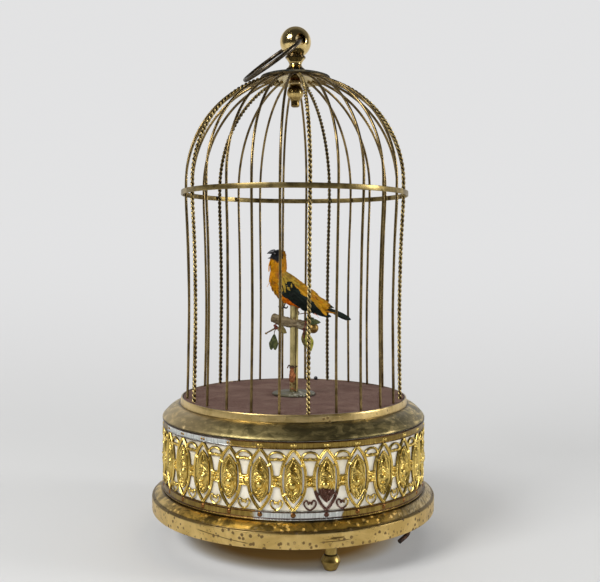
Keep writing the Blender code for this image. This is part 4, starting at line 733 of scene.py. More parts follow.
bottom_strip = rounded([
    (71.60 * mm, band_low.z, 0.1 * mm), (71.80 * mm, band_low.z + 0.55 * mm, 0.3 * mm),
    (71.36 * mm, band_low.z + 1.00 * mm, 0.2 * mm), (71.38 * mm, band_low.z + 3.75 * mm, 0.2 * mm),
    (71.75 * mm, band_low.z + 4.00 * mm, 0.2 * mm), (71.75 * mm, band_low.z + 4.45 * mm, 0.2 * mm),
    (71.00 * mm, band_low.z + 4.75 * mm, 0.1 * mm), (70.90 * mm, band_low.z + 4.75 * mm, 0.1 * mm),
    (70.90 * mm, band_low.z, 0.1 * mm),
])
strips = together([turned(top_strip, 448, True, dents(0.04 * mm, 5)), turned(bottom_strip, 448, True, dents(0.04 * mm, 6))])
piece("gallery_strips", strips, strip.material, replaces=["filigree_band"])

# %% Oval frames
# A double rib: two round ridges with a groove between them, as (out of the sheet, across) in mm.
# Fine nicks along both ridges come from raising every other cross-section a little.
RIB = np.array([
    (-0.30, -0.72), (0.16, -0.72), (0.46, -0.60), (0.55, -0.42), (0.44, -0.22), (0.14, 0.0),
    (0.44, 0.22), (0.55, 0.42), (0.46, 0.60), (0.16, 0.72), (-0.30, 0.72),
]) * mm
t = np.sin(np.linspace(-math.pi / 2, math.pi / 2, 57))
nicks = np.where(np.arange(57) % 2, 1.16, 0.90)
rib_rows = RIB[None] * np.ones((57, 1, 2))
rib_rows[..., 0] *= np.where(rib_rows[..., 0] > 0, nicks[:, None], 1.0)
frames = []
for side in (-1, 1):
    half_width = oval_half_width(t, OVAL_WIDTH) + 0.05 * mm
    path = np.column_stack([side * half_width, OVAL_MIDDLE + t * OVAL_HEIGHT, np.full(len(t), 0.02 * mm)])
    frames.append(swept(path, rib_rows, (0.0, 0.0, 1.0)))
frames = all_round(together(frames))
piece("oval_frames", frames, gold.material, sharp=55.0)

# %% [markdown]
# Each oval holds an embossed leaf plate, joined to its frame by four small ties, so that a thin line
# of white runs round it. The plate's relief is a height for each point of the flat drawing: ridges
# along scrolls, a domed boss with a ring round it, and a hollow leaf above. The height of a ridge
# falls off with the distance from its curve, as exp(-(distance / width)^2).

# %% Leaf plates
def ridge(distance, width, height):
    """A rounded ridge: height * exp(-(distance / width)^2), in mm."""
    return height * np.exp(-(distance / width) ** 2)


def far_from(u, z, points, count=70):
    """The distance from each point of the grid to the nearest point of a curve through these points."""
    line = curve_through(points, count)
    return np.hypot(u[..., None] - line[:, 0], z[..., None] - line[:, 1]).min(-1)


BOSS = (-0.45, -2.6)
GREAT_SCROLL = [(-2.5, 2.3), (-1.5, 3.0), (-0.1, 2.6), (1.1, 1.4), (2.3, -0.5), (2.8, -2.6), (2.3, -4.6), (1.1, -6.1), (-0.2, -6.6), (-1.0, -6.0), (-0.6, -5.3)]
RIGHT_LEAF = [(1.0, 7.0), (1.9, 5.4), (2.5, 3.4), (2.9, 1.2), (3.3, -1.4)]
LEFT_LEAF = [(-1.2, 6.8), (-2.2, 5.0), (-2.9, 2.8), (-3.2, 0.4), (-3.3, -2.0), (-2.9, -4.6), (-2.0, -6.8)]
LEAF_EDGE = [(-1.3, 3.7), (-1.8, 5.4), (-1.1, 7.4), (-0.1, 8.9), (1.0, 7.4), (1.5, 5.6), (1.1, 4.2)]
LEAF_CURL = [(1.3, 5.4), (0.7, 5.9), (0.1, 5.3), (0.5, 4.5), (1.3, 4.2), (2.0, 3.0)]
LOW_CURLS = [[(-1.7, -6.3), (-1.9, -7.3), (-1.1, -7.9), (-0.5, -7.2), (-1.1, -6.9)], [(1.5, -6.9), (0.9, -7.9), (0.2, -7.5), (0.5, -6.9)],
             [(0.0, -8.2), (0.5, -8.9), (0.0, -9.5), (-0.5, -8.9)]]


def leaf_relief(u, z, edge):
    """The height of the plate over the sheet at (u, z), in mm; edge is the distance to its outline."""
    from_boss = np.hypot(u - BOSS[0], z - BOSS[1])
    round_boss = np.degrees(np.arctan2(z - BOSS[1], u - BOSS[0]))
    height = 0.16 + ridge(edge - 0.18, 0.30, 0.48)
    height += 1.05 * np.sqrt(np.clip(1 - (from_boss / 1.75) ** 2, 0, 1))
    height += ridge(from_boss - 2.30, 0.27, 0.62)
    petals = ((3.15, 40.0, 95.0, 0.52), (3.95, 55.0, 60.0, 0.42), (4.75, 62.0, 40.0, 0.34))
    for radius, middle, spread, tall in petals:
        height += ridge(from_boss - radius, 0.24, tall) * np.exp(-((round_boss - middle) / spread) ** 4)
    height += ridge(far_from(u, z, GREAT_SCROLL), 0.34, 0.72)
    height += ridge(far_from(u, z, RIGHT_LEAF), 0.26, 0.45)
    height += ridge(far_from(u, z, LEFT_LEAF), 0.30, 0.42)
    height += ridge(far_from(u, z, LEAF_EDGE), 0.22, 0.50)
    height += ridge(far_from(u, z, LEAF_CURL), 0.26, 0.60)
    for curl in LOW_CURLS:
        height += ridge(far_from(u, z, curl), 0.20, 0.46)
    lines = far_from(u, z, GREAT_SCROLL) + 0.3 * far_from(u, z, LEFT_LEAF)
    height += 0.085 * np.cos(TURN * lines / 0.95) * (from_boss > 1.9)
    height -= 0.42 * np.exp(-((u + 0.1) / 0.95) ** 2 - ((z - 6.2) / 1.7) ** 2)
    return np.minimum(height, 1.35)


ROWS, COLUMNS = 96, 44
t = np.linspace(-0.985, 0.985, ROWS)[:, None]
share = np.linspace(-1.0, 1.0, COLUMNS)[None, :]
half_width = oval_half_width(t, PLATE_WIDTH / mm, 3.4) + 0.10
u = share * half_width
z = t * PLATE_HEIGHT / mm + 0 * u
edge = half_width - np.abs(u)
relief = np.where(edge < 0.02, 0.20, leaf_relief(u, z, edge))
front = np.stack([u, z, relief], -1) * mm
back = np.stack([np.concatenate([half_width, -half_width], 1), z[:, :2], np.full((ROWS, 2), -0.30)], -1) * mm
plate = np.concatenate([front, back], 1)
plate[..., 1] += OVAL_MIDDLE - 0.10 * mm
plate_patch = patch(plate)
piece("leaf_plates_front", all_round(plate_patch, range(-7, 7)), gold.material, sharp=70.0)
piece("leaf_plates_back", all_round(plate_patch, range(7, 21)), gold.material, sharp=70.0)

# %% Ties, beads and scrolls between the ovals
tie_ends = ((3.7, 5.2, 6.6, 7.5), (3.7, 5.2, -6.7, -7.7))
ties = [flat_wire([(s * a, za), (s * b, zb)], 0.72, 4, 6, -0.15) for s in (-1, 1) for a, b, za, zb in tie_ends]
in_oval = together(ties + [
    flat_dome(0.0, 10.3, 0.75, 0.80), flat_dome(-0.75, 16.45, 0.80, 0.60), flat_dome(0.75, 16.45, 0.80, 0.60),
    flat_dome(0.0, -15.3, 0.60, 0.45), flat_dome(0.0, -16.7, 1.40, 0.74),
    flat_dome(0.0, 14.4, 0.75, 0.55, 8, 4), flat_dome(0.0, -14.5, 0.80, 0.60, 8, 4),
])
HALF_HEART = [
    (0.0, -11.20), (0.28, -10.55), (0.95, -10.95), (0.62, -11.65), (1.20, -10.10), (2.05, -9.75), (2.80, -10.45),
    (2.85, -11.60), (2.25, -12.80), (1.20, -13.75), (0.0, -14.40),
]
between = together([
    flat_wire([(-4.1, 10.3), (-3.2, 12.0), (-1.7, 13.0), (0.0, 13.3), (1.7, 13.0), (3.2, 12.0), (4.1, 10.3)],
              0.62, 18, 6, 0.20),
    flat_wire([(-3.7, 10.0), (-1.8, 9.7), (0.0, 9.9), (1.8, 9.7), (3.7, 10.0)], 0.78, 14, 6, 0.12),
    flat_wire([(-2.2, 1.8), (0.0, 1.3), (2.2, 1.8)], 0.70, 7, 6, 0.10),
    flat_wire([(-2.1, 0.2), (0.0, 0.1), (2.1, 0.2)], 0.75, 7, 6, -0.10),
    flat_wire([(-2.1, -1.4), (0.0, -1.4), (2.1, -1.4)], 0.85, 7, 6, -0.10),
    flat_wire([(-2.2, -3.2), (0.0, -2.7), (2.2, -3.2)], 0.70, 7, 6, 0.10),
    flat_dome(-0.10, -1.5, 0.95, 1.15, 12, 5), flat_dome(0.0, 0.45, 0.50, 0.85, 10, 4),
    flat_dome(-2.4, 9.9, 0.62, 0.85, 8, 4), flat_dome(0.0, 10.2, 0.55, 0.80, 8, 4), flat_dome(2.4, 9.9, 0.62, 0.85, 8, 4),
] + [flat_wire([(s * x, z) for x, z in HALF_HEART], 0.46, 34) for s in (-1, 1)])
piece("oval_beads_and_ties", all_round(in_oval), gold.material, sharp=60.0)
piece("scrolls_between_ovals", all_round(between, half=0.5), gold.material, sharp=60.0)

# %% [markdown]
# Above the gallery a domed cover closes the base. It was never gilt as brightly: it has gone a dark
# olive bronze with tan clouds, with a painted highlight that makes it lighter at the front left. On it stands the
# rim, a clean tan gold hoop that the cage's wires go down into, round the velvet floor.

# %% Cover and rim
cover_low, cover_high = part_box("upper_cover")
cover_finish = aged_brass("cover_bronze", (0.60, 0.47, 0.20), (0.30, 0.245, 0.105), 0.35, 0.42, 0.018, 0.5)
clouds = cover_finish.noise(0.007, 5.0, 0.68, 0.8, cover_finish.moved((0.1, 0.4, 0.0), scale=(1, 1, 1.8)))
tone = cover_finish.mix(cover_finish.rise(clouds, 0.46, 0.58, 0.0, 0.9), cover_finish.tone, (0.80, 0.62, 0.29))
streaked = cover_finish.noise(0.0026, 3.0, 0.6, 1.0, unrolled(cover_finish, (0.22, 1.0, 0.8)))
tone = cover_finish.mix(cover_finish.rise(streaked, 0.40, 0.62, 0.75, 0.0), tone, (0.095, 0.080, 0.038))
in_front = cover_finish.rise(cover_finish.axes()[1], -40 * mm, -64 * mm, 0.0, 0.6)
tone = cover_finish.mix(in_front, tone, cover_finish.mix(cover_finish.rise(clouds, 0.4, 0.6), (0.135, 0.110, 0.046), (0.36, 0.295, 0.120)))
up_cover = cover_finish.axes()[2]
# Painted highlight: the cover is painted lighter at the front left, towards the key light.
key_lit_patch = cover_finish.near((-62 * mm, -36 * mm, 70 * mm), 0.045)
tone = cover_finish.mix(cover_finish.sums("MULTIPLY", key_lit_patch, 0.55), tone, (0.66, 0.50, 0.26))
# Painted shade: the cover is painted dark along its lower edge, where it meets the gallery, and at its top, under the
# rim.
seam = cover_finish.rise(up_cover, cover_low.z + 1.1 * mm, cover_low.z + 0.2 * mm, 0.0, 0.8)
root = cover_finish.rise(up_cover, cover_high.z - 0.30 * mm, cover_high.z - 0.02 * mm, 0.0, 0.75)
cover_finish.give("Base Color", cover_finish.mix(cover_finish.sums("MAXIMUM", seam, root), tone, (0.030, 0.022, 0.010)))
cover_profile = rounded([
    (GALLERY_RADIUS - 0.10 * mm, cover_low.z, 0.2 * mm), (GALLERY_RADIUS + 0.10 * mm, cover_low.z + 0.45 * mm, 0.3 * mm),
    (GALLERY_RADIUS - 0.40 * mm, cover_low.z + 1.5 * mm, 1.0 * mm), (GALLERY_RADIUS - 4.3 * mm, cover_high.z - 1.75 * mm, 2.6 * mm),
    (GALLERY_RADIUS - 8.2 * mm, cover_high.z, 2.0 * mm), (58.0 * mm, cover_high.z, 0.2 * mm),
    (58.0 * mm, cover_high.z - SHEET, 0.2 * mm), (GALLERY_RADIUS - 8.5 * mm, cover_high.z - SHEET, 1.8 * mm),
    (GALLERY_RADIUS - 4.8 * mm, cover_high.z - 2.5 * mm, 2.4 * mm), (GALLERY_RADIUS - 0.95 * mm, cover_low.z + 1.0 * mm, 0.8 * mm),
    (GALLERY_RADIUS - 0.90 * mm, cover_low.z, 0.2 * mm),
], steps=7)
piece("domed_cover", turned(cover_profile, 320, True, dents(0.05 * mm, 7)), cover_finish.material,
      replaces=["upper_cover"])

rim_low, rim_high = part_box("cage_rim")
rim_radius = rim_high.x
rim_finish = aged_brass("rim_gold", (0.84, 0.63, 0.29), (0.60, 0.43, 0.16), 0.25, 0.34, 0.012, 0.3)
rim_profile = rounded([
    (rim_radius + 0.20 * mm, rim_low.z - 0.7 * mm, 0.15 * mm), (rim_radius + 0.18 * mm, rim_low.z + 0.3 * mm, 0.5 * mm),
    (rim_radius - 0.02 * mm, rim_high.z - 0.8 * mm, 0.5 * mm), (rim_radius - 0.25 * mm, rim_high.z, 0.35 * mm),
    (rim_radius - 1.15 * mm, rim_high.z, 0.25 * mm), (rim_radius - 1.2 * mm, rim_low.z + SHEET, 0.3 * mm),
    (58.0 * mm, rim_low.z + SHEET, 0.2 * mm), (58.0 * mm, rim_low.z, 0.2 * mm),
    (rim_radius - 0.60 * mm, rim_low.z, 0.1 * mm), (rim_radius - 0.55 * mm, rim_low.z - 0.7 * mm, 0.1 * mm),
], steps=5)
# Painted shade: the inner half of the rim's top and its inner side, next to the velvet, are painted dark.
rim_inner_shade = rim_finish.rise(rim_finish.from_axis(), rim_radius - 0.45 * mm, rim_radius - 0.62 * mm, 0.0, 0.85)
rim_finish.give("Base Color", rim_finish.mix(rim_inner_shade, rim_finish.tone, (0.10, 0.070, 0.035)))
piece("rim_hoop", turned(rim_profile, 288, True, dents(0.03 * mm, 9)), rim_finish.material, replaces=["cage_rim"])

# %% [markdown]
# The floor is a disc of card under velvet. Old velvet isn't one colour: the pile leans in patches, so
# the same dusty red-brown looks darker or paler, and bare threads show as a fine grid. It is a real
# sheet of cloth, cut as a round piece with a hole for the post.

# %% Velvet floor
velvet_low, velvet_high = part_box("floor_velvet")
velvet_radius, post_hole = velvet_high.x, 2.6 * mm
velvet_finish = Finish("dusty_velvet", (0.20, 0.09, 0.08), 0.95, 0.0)
velvet_finish.give("Sheen Weight", 0.12)
velvet_finish.give("Sheen Roughness", 0.45)
velvet_finish.give("Sheen Tint", (0.85, 0.62, 0.55, 1.0))
velvet_finish.give("Specular IOR Level", 0.0)
lean = velvet_finish.noise(0.016, 5.0, 0.6, 1.2)
pile = velvet_finish.noise(0.00055, 2.0, 0.7)
threads = velvet_finish.add("ShaderNodeTexWave", wave_type="BANDS", bands_direction="X")
threads.inputs["Scale"].default_value = 480.0
threads.inputs["Distortion"].default_value = 1.5
cloth = velvet_finish.mix(velvet_finish.rise(lean, 0.20, 0.80), (0.052, 0.020, 0.016), (0.122, 0.074, 0.057))
cloth = velvet_finish.mix(velvet_finish.rise(pile, 0.42, 0.70, 0.0, 0.50), cloth, (0.185, 0.135, 0.105))
bare = velvet_finish.sums("MULTIPLY", threads.outputs["Fac"], velvet_finish.rise(lean, 0.55, 0.75, 0.0, 0.4))
velvet_finish.give("Base Color", velvet_finish.mix(bare, cloth, (0.17, 0.115, 0.085)))
velvet_finish.bump(velvet_finish.sums("ADD", pile, velvet_finish.sums("MULTIPLY", lean, 1.5)), 0.00035, 0.7)
radii = np.concatenate([np.linspace(post_hole, velvet_radius, 40), [velvet_radius, post_hole]])
levels = np.concatenate([np.full(40, velvet_high.z), [velvet_low.z, velvet_low.z]])
t = np.linspace(0.0, TURN, 144, endpoint=False)[None, :]
r = radii[:, None] + 0 * t
lift = 0.10 * mm * (np.sin(3 * t + 160 * r) + np.sin(5 * t - 240 * r + 1.0)) * (levels[:, None] > velvet_low.z + 0.1 * mm)
velvet_points = np.stack([r * np.sin(t), -r * np.cos(t), levels[:, None] - 0.05 * mm * (lift != 0) + lift], -1)
velvet = piece("velvet_floor", patch(velvet_points[::-1], rows_closed=True), velvet_finish.material, replaces=["floor_velvet"])

# %% [markdown]
# The cage has 26 wires. Most are plain drawn brass, and five are ropes of two thinner wires twisted
# together, which catch the light as a row of dashes. All stand just inside the rim, lean in a little
# at half height and bend over into the dome. A twisted strand is a circle carried along a helix:
# the wire's own path plus a small circle that turns as the path goes on.

# %% Wires
WIRES = 26
TWISTED = (0, 5, 11, 16, 21)
FIRST_WIRE = math.radians(7.0)
DOME_RADIUS, DOME_CENTRE, CROWN_RADIUS = 59.6 * mm, 192.7 * mm, 12.5 * mm
WIRE_FOOT = velvet_high.z - 0.35 * mm


def wire_line(count):
    """A wire's radius and height from the floor to the crown, at even steps along it."""
    climb = np.array([(58.8, WIRE_FOOT / mm), (58.25, 100.0), (57.9, 127.3), (58.5, 158.0), (59.5, 181.0), (59.6, 187.5)]) * mm
    turn = np.linspace(0.0, 1.0, 60)
    angle = turn * math.acos(CROWN_RADIUS / DOME_RADIUS)
    dome = np.column_stack([DOME_RADIUS * np.cos(angle), DOME_CENTRE + DOME_RADIUS * np.sin(angle) - 0.6 * mm * turn ** 2])
    line = np.concatenate([curve_through(climb, 60), dome])
    length = np.concatenate([[0.0], np.cumsum(np.linalg.norm(np.diff(line, axis=0), axis=1))])
    even = np.linspace(0.0, length[-1], count)
    return np.column_stack([np.interp(even, length, line[:, 0]), np.interp(even, length, line[:, 1])]), even


def wire_path(number, count, wobble=0.0):
    """The line set up at one wire's place round the cage, with the slight bends of a hand made cage."""
    line, along = wire_line(count)
    chance = np.random.default_rng(100 + number)
    phase, size = chance.uniform(0, TURN, 4), chance.uniform(0.4, 1.0, 4)
    aside = wobble * (size[0] * np.sin(along * 34 + phase[0]) + size[1] * 0.5 * np.sin(along * 81 + phase[1]))
    out = wobble * (size[2] * np.sin(along * 28 + phase[2]) + size[3] * 0.4 * np.sin(along * 95 + phase[3]))
    fade = np.sin(math.pi * np.clip(along / along[-1], 0, 1)) ** 0.5
    azimuth = FIRST_WIRE + number * TURN / WIRES
    way_out = np.array([math.sin(azimuth), -math.cos(azimuth), 0.0])
    way_aside = np.array([math.cos(azimuth), math.sin(azimuth), 0.0])
    radial = (line[:, 0] + out * fade)[:, None] * way_out + (aside * fade)[:, None] * way_aside
    return radial + np.column_stack([0 * along, 0 * along, line[:, 1]]), way_aside


wire_finish = Finish("drawn_wire", (0.30, 0.215, 0.095), 0.34, 1.0)
tarnish = wire_finish.noise(0.012, 4.0, 0.65, 0.4)
specks = wire_finish.noise(0.0012, 2.0)
drawn = wire_finish.mix(wire_finish.rise(tarnish, 0.36, 0.62), (0.115, 0.078, 0.030), (0.330, 0.232, 0.092))
drawn = wire_finish.mix(wire_finish.rise(specks, 0.58, 0.72, 0.0, 0.6), drawn, (0.08, 0.05, 0.022))
wire_finish.give("Base Color", drawn)
wire_finish.give("Roughness", wire_finish.rise(tarnish, 0.3, 0.7, 0.42, 0.24))
wire_finish.bump(specks, 0.00004, 0.5)

plain = []
for number in range(WIRES):
    if number not in TWISTED:
        path, aside = wire_path(number, 72, 0.16 * mm)
        plain.append(round_wire(path, 0.70 * mm, aside, 10))
plain_nodes = sorted(name for name in nodes if name.startswith("plain_wire"))
piece("plain_wires", together(plain), wire_finish.material, replaces=plain_nodes)

rope_finish = Finish("twisted_wire", (0.45, 0.34, 0.14), 0.36, 1.0)
worn_gilt = rope_finish.noise(0.008, 4.0, 0.6)
rope_tone = rope_finish.mix(rope_finish.rise(worn_gilt, 0.38, 0.60), (0.24, 0.165, 0.058), (0.58, 0.44, 0.185))
# Painted shade: the sides of the two strands that face each other, down in the groove between them, are painted dark.
strand_groove_shade = rope_finish.rise(rope_finish.paint("from_rope_line")["Fac"], 0.50 * mm, 0.98 * mm)
# The ropes are darker towards the back of the cage.
darker_behind = rope_finish.rise(rope_finish.axes()[1], -5 * mm, 30 * mm, 0.0, 0.85)
rope_tone = rope_finish.mix(darker_behind, rope_tone, (0.110, 0.078, 0.032))
rope_finish.give("Base Color", rope_finish.mix(strand_groove_shade, (0.030, 0.020, 0.008), rope_tone))
rope_finish.give("Roughness", rope_finish.rise(worn_gilt, 0.3, 0.7, 0.42, 0.32))
rope_finish.bump(rope_finish.noise(0.0006, 2.0), 0.00004, 0.4)
LAY = 5.0 * mm
strands, from_line = [], []
for number in TWISTED:
    path, aside = wire_path(number, 860, 0.16 * mm)
    ahead = np.gradient(path, axis=0)
    along = np.concatenate([[0.0], np.cumsum(np.linalg.norm(np.diff(path, axis=0), axis=1))])
    ahead /= np.linalg.norm(ahead, axis=1)[:, None]
    inward = np.cross(ahead, aside)
    for start in (0.0, math.pi):
        turn = start - TURN * along / LAY
        helix = path + 0.54 * mm * (np.cos(turn)[:, None] * aside + np.sin(turn)[:, None] * inward)
        strand = round_wire(helix, 0.54 * mm, aside, 8)
        strands.append(strand)
        ring_points = strand[0][:-2].reshape(len(path), 8, 3)
        from_line.append(np.append(np.linalg.norm(ring_points - path[:, None], axis=2).ravel(), [0.0, 0.0]))
twisted_nodes = [f"twisted_wire_{number:02d}" for number in TWISTED]
ropes = piece("twisted_wires", together(strands), rope_finish.material, replaces=twisted_nodes, sharp=60.0)
ropes.data.attributes.new("from_rope_line", "FLOAT", "POINT").data.foreach_set(
    "value", np.concatenate(from_line).astype(np.float32))

# %% [markdown]
# A flat brass hoop ties the wires where the dome begins. Under the crown the wires meet below a thin
# spun cap, dark above and bright beneath, held from inside by a long turned nut. The finial over it
# is the most polished piece of all, a ball on two collars, bored through for the carrying ring.

# %% Hoop and cap
hoop_low, hoop_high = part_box("cage_hoop")
hoop_finish = aged_brass("hoop_brass", (0.46, 0.345, 0.135), (0.20, 0.145, 0.052), 0.5, 0.36, 0.010, 0.6)
hoop_profile = rounded([
    (hoop_high.x - 0.06 * mm, hoop_low.z, 0.2 * mm), (hoop_high.x + 0.04 * mm, (hoop_low.z + hoop_high.z) / 2, 1.0 * mm),
    (hoop_high.x - 0.06 * mm, hoop_high.z, 0.2 * mm), (hoop_high.x - 0.90 * mm, hoop_high.z, 0.2 * mm),
    (hoop_high.x - 0.90 * mm, hoop_low.z, 0.2 * mm),
])
piece("flat_hoop", turned(hoop_profile, 240, True, dents(0.06 * mm, 11)), hoop_finish.material, replaces=["cage_hoop"])

cap_low, cap_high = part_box("crown_cap")
cap_finish = aged_brass("cap_brass", (0.95, 0.84, 0.56), (0.80, 0.66, 0.36), 0.3, 0.45, 0.008, 1.0)
# Painted shade: the near half of the cap's underside is painted dark brown, and the far half keeps the bright tone.
unshaded_far_side = cap_finish.rise(cap_finish.axes()[1], -2 * mm, 4 * mm)
cap_finish.give("Base Color", cap_finish.mix(unshaded_far_side, (0.085, 0.060, 0.028), cap_finish.tone))
cap_finish.give("Metallic", 0.25)
cap_profile = rounded([
    (19.05 * mm, 249.14 * mm, 0.2 * mm), (19.10 * mm, 250.22 * mm, 0.1 * mm), (16.50 * mm, 251.00 * mm, 1.5 * mm),
    (12.50 * mm, 251.92 * mm, 1.5 * mm), (9.50 * mm, 252.50 * mm, 1.0 * mm), (1.80 * mm, 253.00 * mm, 0.2 * mm),
    (1.80 * mm, 252.75 * mm, 0.2 * mm), (9.40 * mm, 251.90 * mm, 1.0 * mm), (12.40 * mm, 251.00 * mm, 1.5 * mm),
    (16.40 * mm, 249.72 * mm, 1.5 * mm), (18.80 * mm, 249.10 * mm, 0.2 * mm),
], steps=3)
print("cap from", round(cap_low.z / mm, 2), "to", round(cap_high.z / mm, 2))
piece("spun_cap", turned(cap_profile, 128, True), cap_finish.material, replaces=["crown_cap"])

soot = Finish("tarnished_top", (0.030, 0.034, 0.032), 0.85, 0.0)
soot.give("Specular IOR Level", 0.10)
tarnish = soot.noise(0.0035, 5.0, 0.65, 0.6)
soot.give("Base Color", soot.mix(soot.rise(tarnish, 0.38, 0.64), (0.016, 0.020, 0.020), (0.085, 0.070, 0.040)))
soot.bump(tarnish, 0.0002, 0.5)
top_profile = rounded([
    (19.15 * mm, 250.28 * mm, 0.1 * mm), (18.90 * mm, 251.15 * mm, 0.5 * mm), (16.00 * mm, 252.10 * mm, 1.5 * mm),
    (12.50 * mm, 252.70 * mm, 1.5 * mm), (9.50 * mm, 253.00 * mm, 1.0 * mm), (1.80 * mm, 253.30 * mm, 0.1 * mm),
    (1.80 * mm, 253.06 * mm, 0.1 * mm), (9.50 * mm, 252.56 * mm, 1.0 * mm), (12.50 * mm, 251.98 * mm, 1.5 * mm),
    (16.50 * mm, 251.06 * mm, 1.5 * mm), (19.05 * mm, 250.28 * mm, 0.1 * mm),
], steps=3)
piece("cap_top", turned(top_profile, 128, True), soot.material)

# %% Nut and finial
polished = aged_brass("polished_brass", (0.86, 0.66, 0.30), (0.66, 0.48, 0.19), 0.15, 0.12, 0.006, 1.0)
nut_finish = aged_brass("nut_brass", (0.46, 0.32, 0.11), (0.20, 0.13, 0.04), 0.5, 0.26, 0.004, 1.0)
z_nut = nut_finish.axes()[2]
nut_tone = nut_finish.tone
# Painted highlights and shade on the nut: bright bands at 247.8 and 241.2 mm, dark bands at 249.7, 245.0 and 253.6 mm.
NUT_LIGHT_AND_SHADE_BANDS = [(247.8, 0.9, (0.85, 0.66, 0.34)), (249.7, 0.5, (0.26, 0.075, 0.018)), (245.0, 1.1, (0.11, 0.068, 0.022)),
             (241.2, 1.5, (0.66, 0.48, 0.18)), (253.6, 2.0, (0.16, 0.10, 0.03))]
for level, reach, colour in NUT_LIGHT_AND_SHADE_BANDS:
    off = nut_finish.sums("ABSOLUTE", nut_finish.sums("SUBTRACT", z_nut, level * mm))
    nut_tone = nut_finish.mix(nut_finish.rise(off, 0.6 * reach * mm, 1.2 * reach * mm, 0.9, 0.0), nut_tone, colour)
nut_finish.give("Base Color", nut_tone)
nut_profile = rounded([
    (0.05 * mm, 234.70 * mm), (1.60 * mm, 234.72 * mm, 0.4 * mm), (2.35 * mm, 235.30 * mm, 0.4 * mm), (2.40 * mm, 237.60 * mm, 0.4 * mm),
    (2.62 * mm, 238.70 * mm, 0.5 * mm), (4.30 * mm, 240.80 * mm, 1.0 * mm), (4.68 * mm, 242.45 * mm, 1.2 * mm),
    (4.15 * mm, 244.60 * mm, 1.0 * mm), (3.10 * mm, 246.05 * mm, 0.6 * mm), (3.05 * mm, 246.75 * mm, 0.3 * mm),
    (3.70 * mm, 247.00 * mm, 0.3 * mm), (3.72 * mm, 248.80 * mm, 0.3 * mm), (2.96 * mm, 249.05 * mm, 0.3 * mm),
    (2.96 * mm, 252.30 * mm, 0.2 * mm), (0.05 * mm, 252.30 * mm),
], closed=False)
piece("turned_nut", turned(nut_profile, 72), nut_finish.material, replaces=["crown_nut"])

BALL_CENTRE = np.array([0.0, 0.0, 269.845]) * mm
BALL_RADIUS, BORE_RADIUS = 8.45 * mm, 2.9 * mm
BORE_WAY = np.array([0.35837, -0.93358, 0.0])
stem_profile = rounded([
    (0.05 * mm, 253.10 * mm), (6.35 * mm, 253.15 * mm, 0.2 * mm), (6.40 * mm, 253.95 * mm, 0.4 * mm), (5.55 * mm, 254.45 * mm, 0.4 * mm),
    (5.30 * mm, 255.30 * mm, 0.4 * mm), (4.10 * mm, 256.30 * mm, 0.8 * mm), (3.35 * mm, 257.60 * mm, 0.9 * mm),
    (3.60 * mm, 258.90 * mm, 0.8 * mm), (4.90 * mm, 260.70 * mm, 0.8 * mm), (5.55 * mm, 261.25 * mm, 0.3 * mm),
    (5.60 * mm, 261.95 * mm, 0.4 * mm), (4.95 * mm, 262.35 * mm, 0.3 * mm), (4.90 * mm, 262.80 * mm, 0.3 * mm),
    (4.20 * mm, 263.70 * mm, 0.3 * mm), (0.05 * mm, 263.70 * mm),
], closed=False)
stem_finish = aged_brass("stem_brass", (0.80, 0.60, 0.26), (0.56, 0.40, 0.15), 0.4, 0.16, 0.005, 1.0)
z_stem, stem_tone = stem_finish.axes()[2], stem_finish.tone
# Painted shade: dark bands on the collar under the ball and at the stem's foot on the cap.
for level, reach in ((262.0, 1.1), (253.6, 2.4)):
    off = stem_finish.sums("ABSOLUTE", stem_finish.sums("SUBTRACT", z_stem, level * mm))
    stem_tone = stem_finish.mix(stem_finish.rise(off, 0.7 * reach * mm, 1.2 * reach * mm, 0.92, 0.0), stem_tone, (0.045, 0.028, 0.014))
stem_finish.give("Base Color", stem_tone)
piece("finial_stem", turned(stem_profile, 96), stem_finish.material)
b = np.linspace(-math.acos((BORE_RADIUS + 0.12 * mm) / BALL_RADIUS), math.acos((BORE_RADIUS + 0.12 * mm) / BALL_RADIUS), 72)
arc = np.column_stack([BALL_RADIUS * np.cos(b), BALL_RADIUS * np.sin(b)])
bore_half = BALL_RADIUS * math.sin(b[-1]) - 0.18 * mm
bore = np.array([(BORE_RADIUS, bore_half), (BORE_RADIUS, bore_half * 0.4), (BORE_RADIUS, -bore_half * 0.4), (BORE_RADIUS, -bore_half)])
points, quads, triangles = turned(np.concatenate([arc, bore]), 96, True)
way_level = np.cross([0.0, 0.0, 1.0], BORE_WAY)
turn_to_bore = np.column_stack([way_level, np.cross(BORE_WAY, way_level), BORE_WAY])
points = points @ turn_to_bore.T + BALL_CENTRE
piece("finial_ball", (points, quads, triangles), polished.material, replaces=["finial"])

# %% Carrying ring
ring_finish = Finish("ring_steel", (0.24, 0.205, 0.165), 0.36, 1.0)
rust = ring_finish.noise(0.005, 5.0, 0.65, 0.4)
worn_ring = ring_finish.mix(ring_finish.rise(rust, 0.38, 0.62), (0.040, 0.028, 0.018), (0.155, 0.125, 0.085))
ring_finish.give("Base Color", worn_ring)
ring_finish.give("Roughness", ring_finish.rise(rust, 0.3, 0.7, 0.5, 0.28))
ring_finish.bump(ring_finish.noise(0.0007, 3.0, 0.6), 0.00007, 0.6)
RING_RADIUS, RING_WIRE = 18.2 * mm, 1.05 * mm
leftward = -np.cross([0.0, 0.0, 1.0], BORE_WAY)
hang = math.radians(39.0)
ring_way = leftward * math.cos(hang) - np.array([0.0, 0.0, 1.0]) * math.sin(hang)
if ring_way[0] > 0:
    raise ValueError("the ring hangs on the left of the ball")
ring_centre = BALL_CENTRE + ring_way * (RING_RADIUS - RING_WIRE)
a = np.linspace(0.0, TURN, 160, endpoint=False)[:, None]
ring_side = np.cross(ring_way, BORE_WAY)
ring_side = ring_side * -np.sign(ring_side[2])
lean = math.radians(1.9)
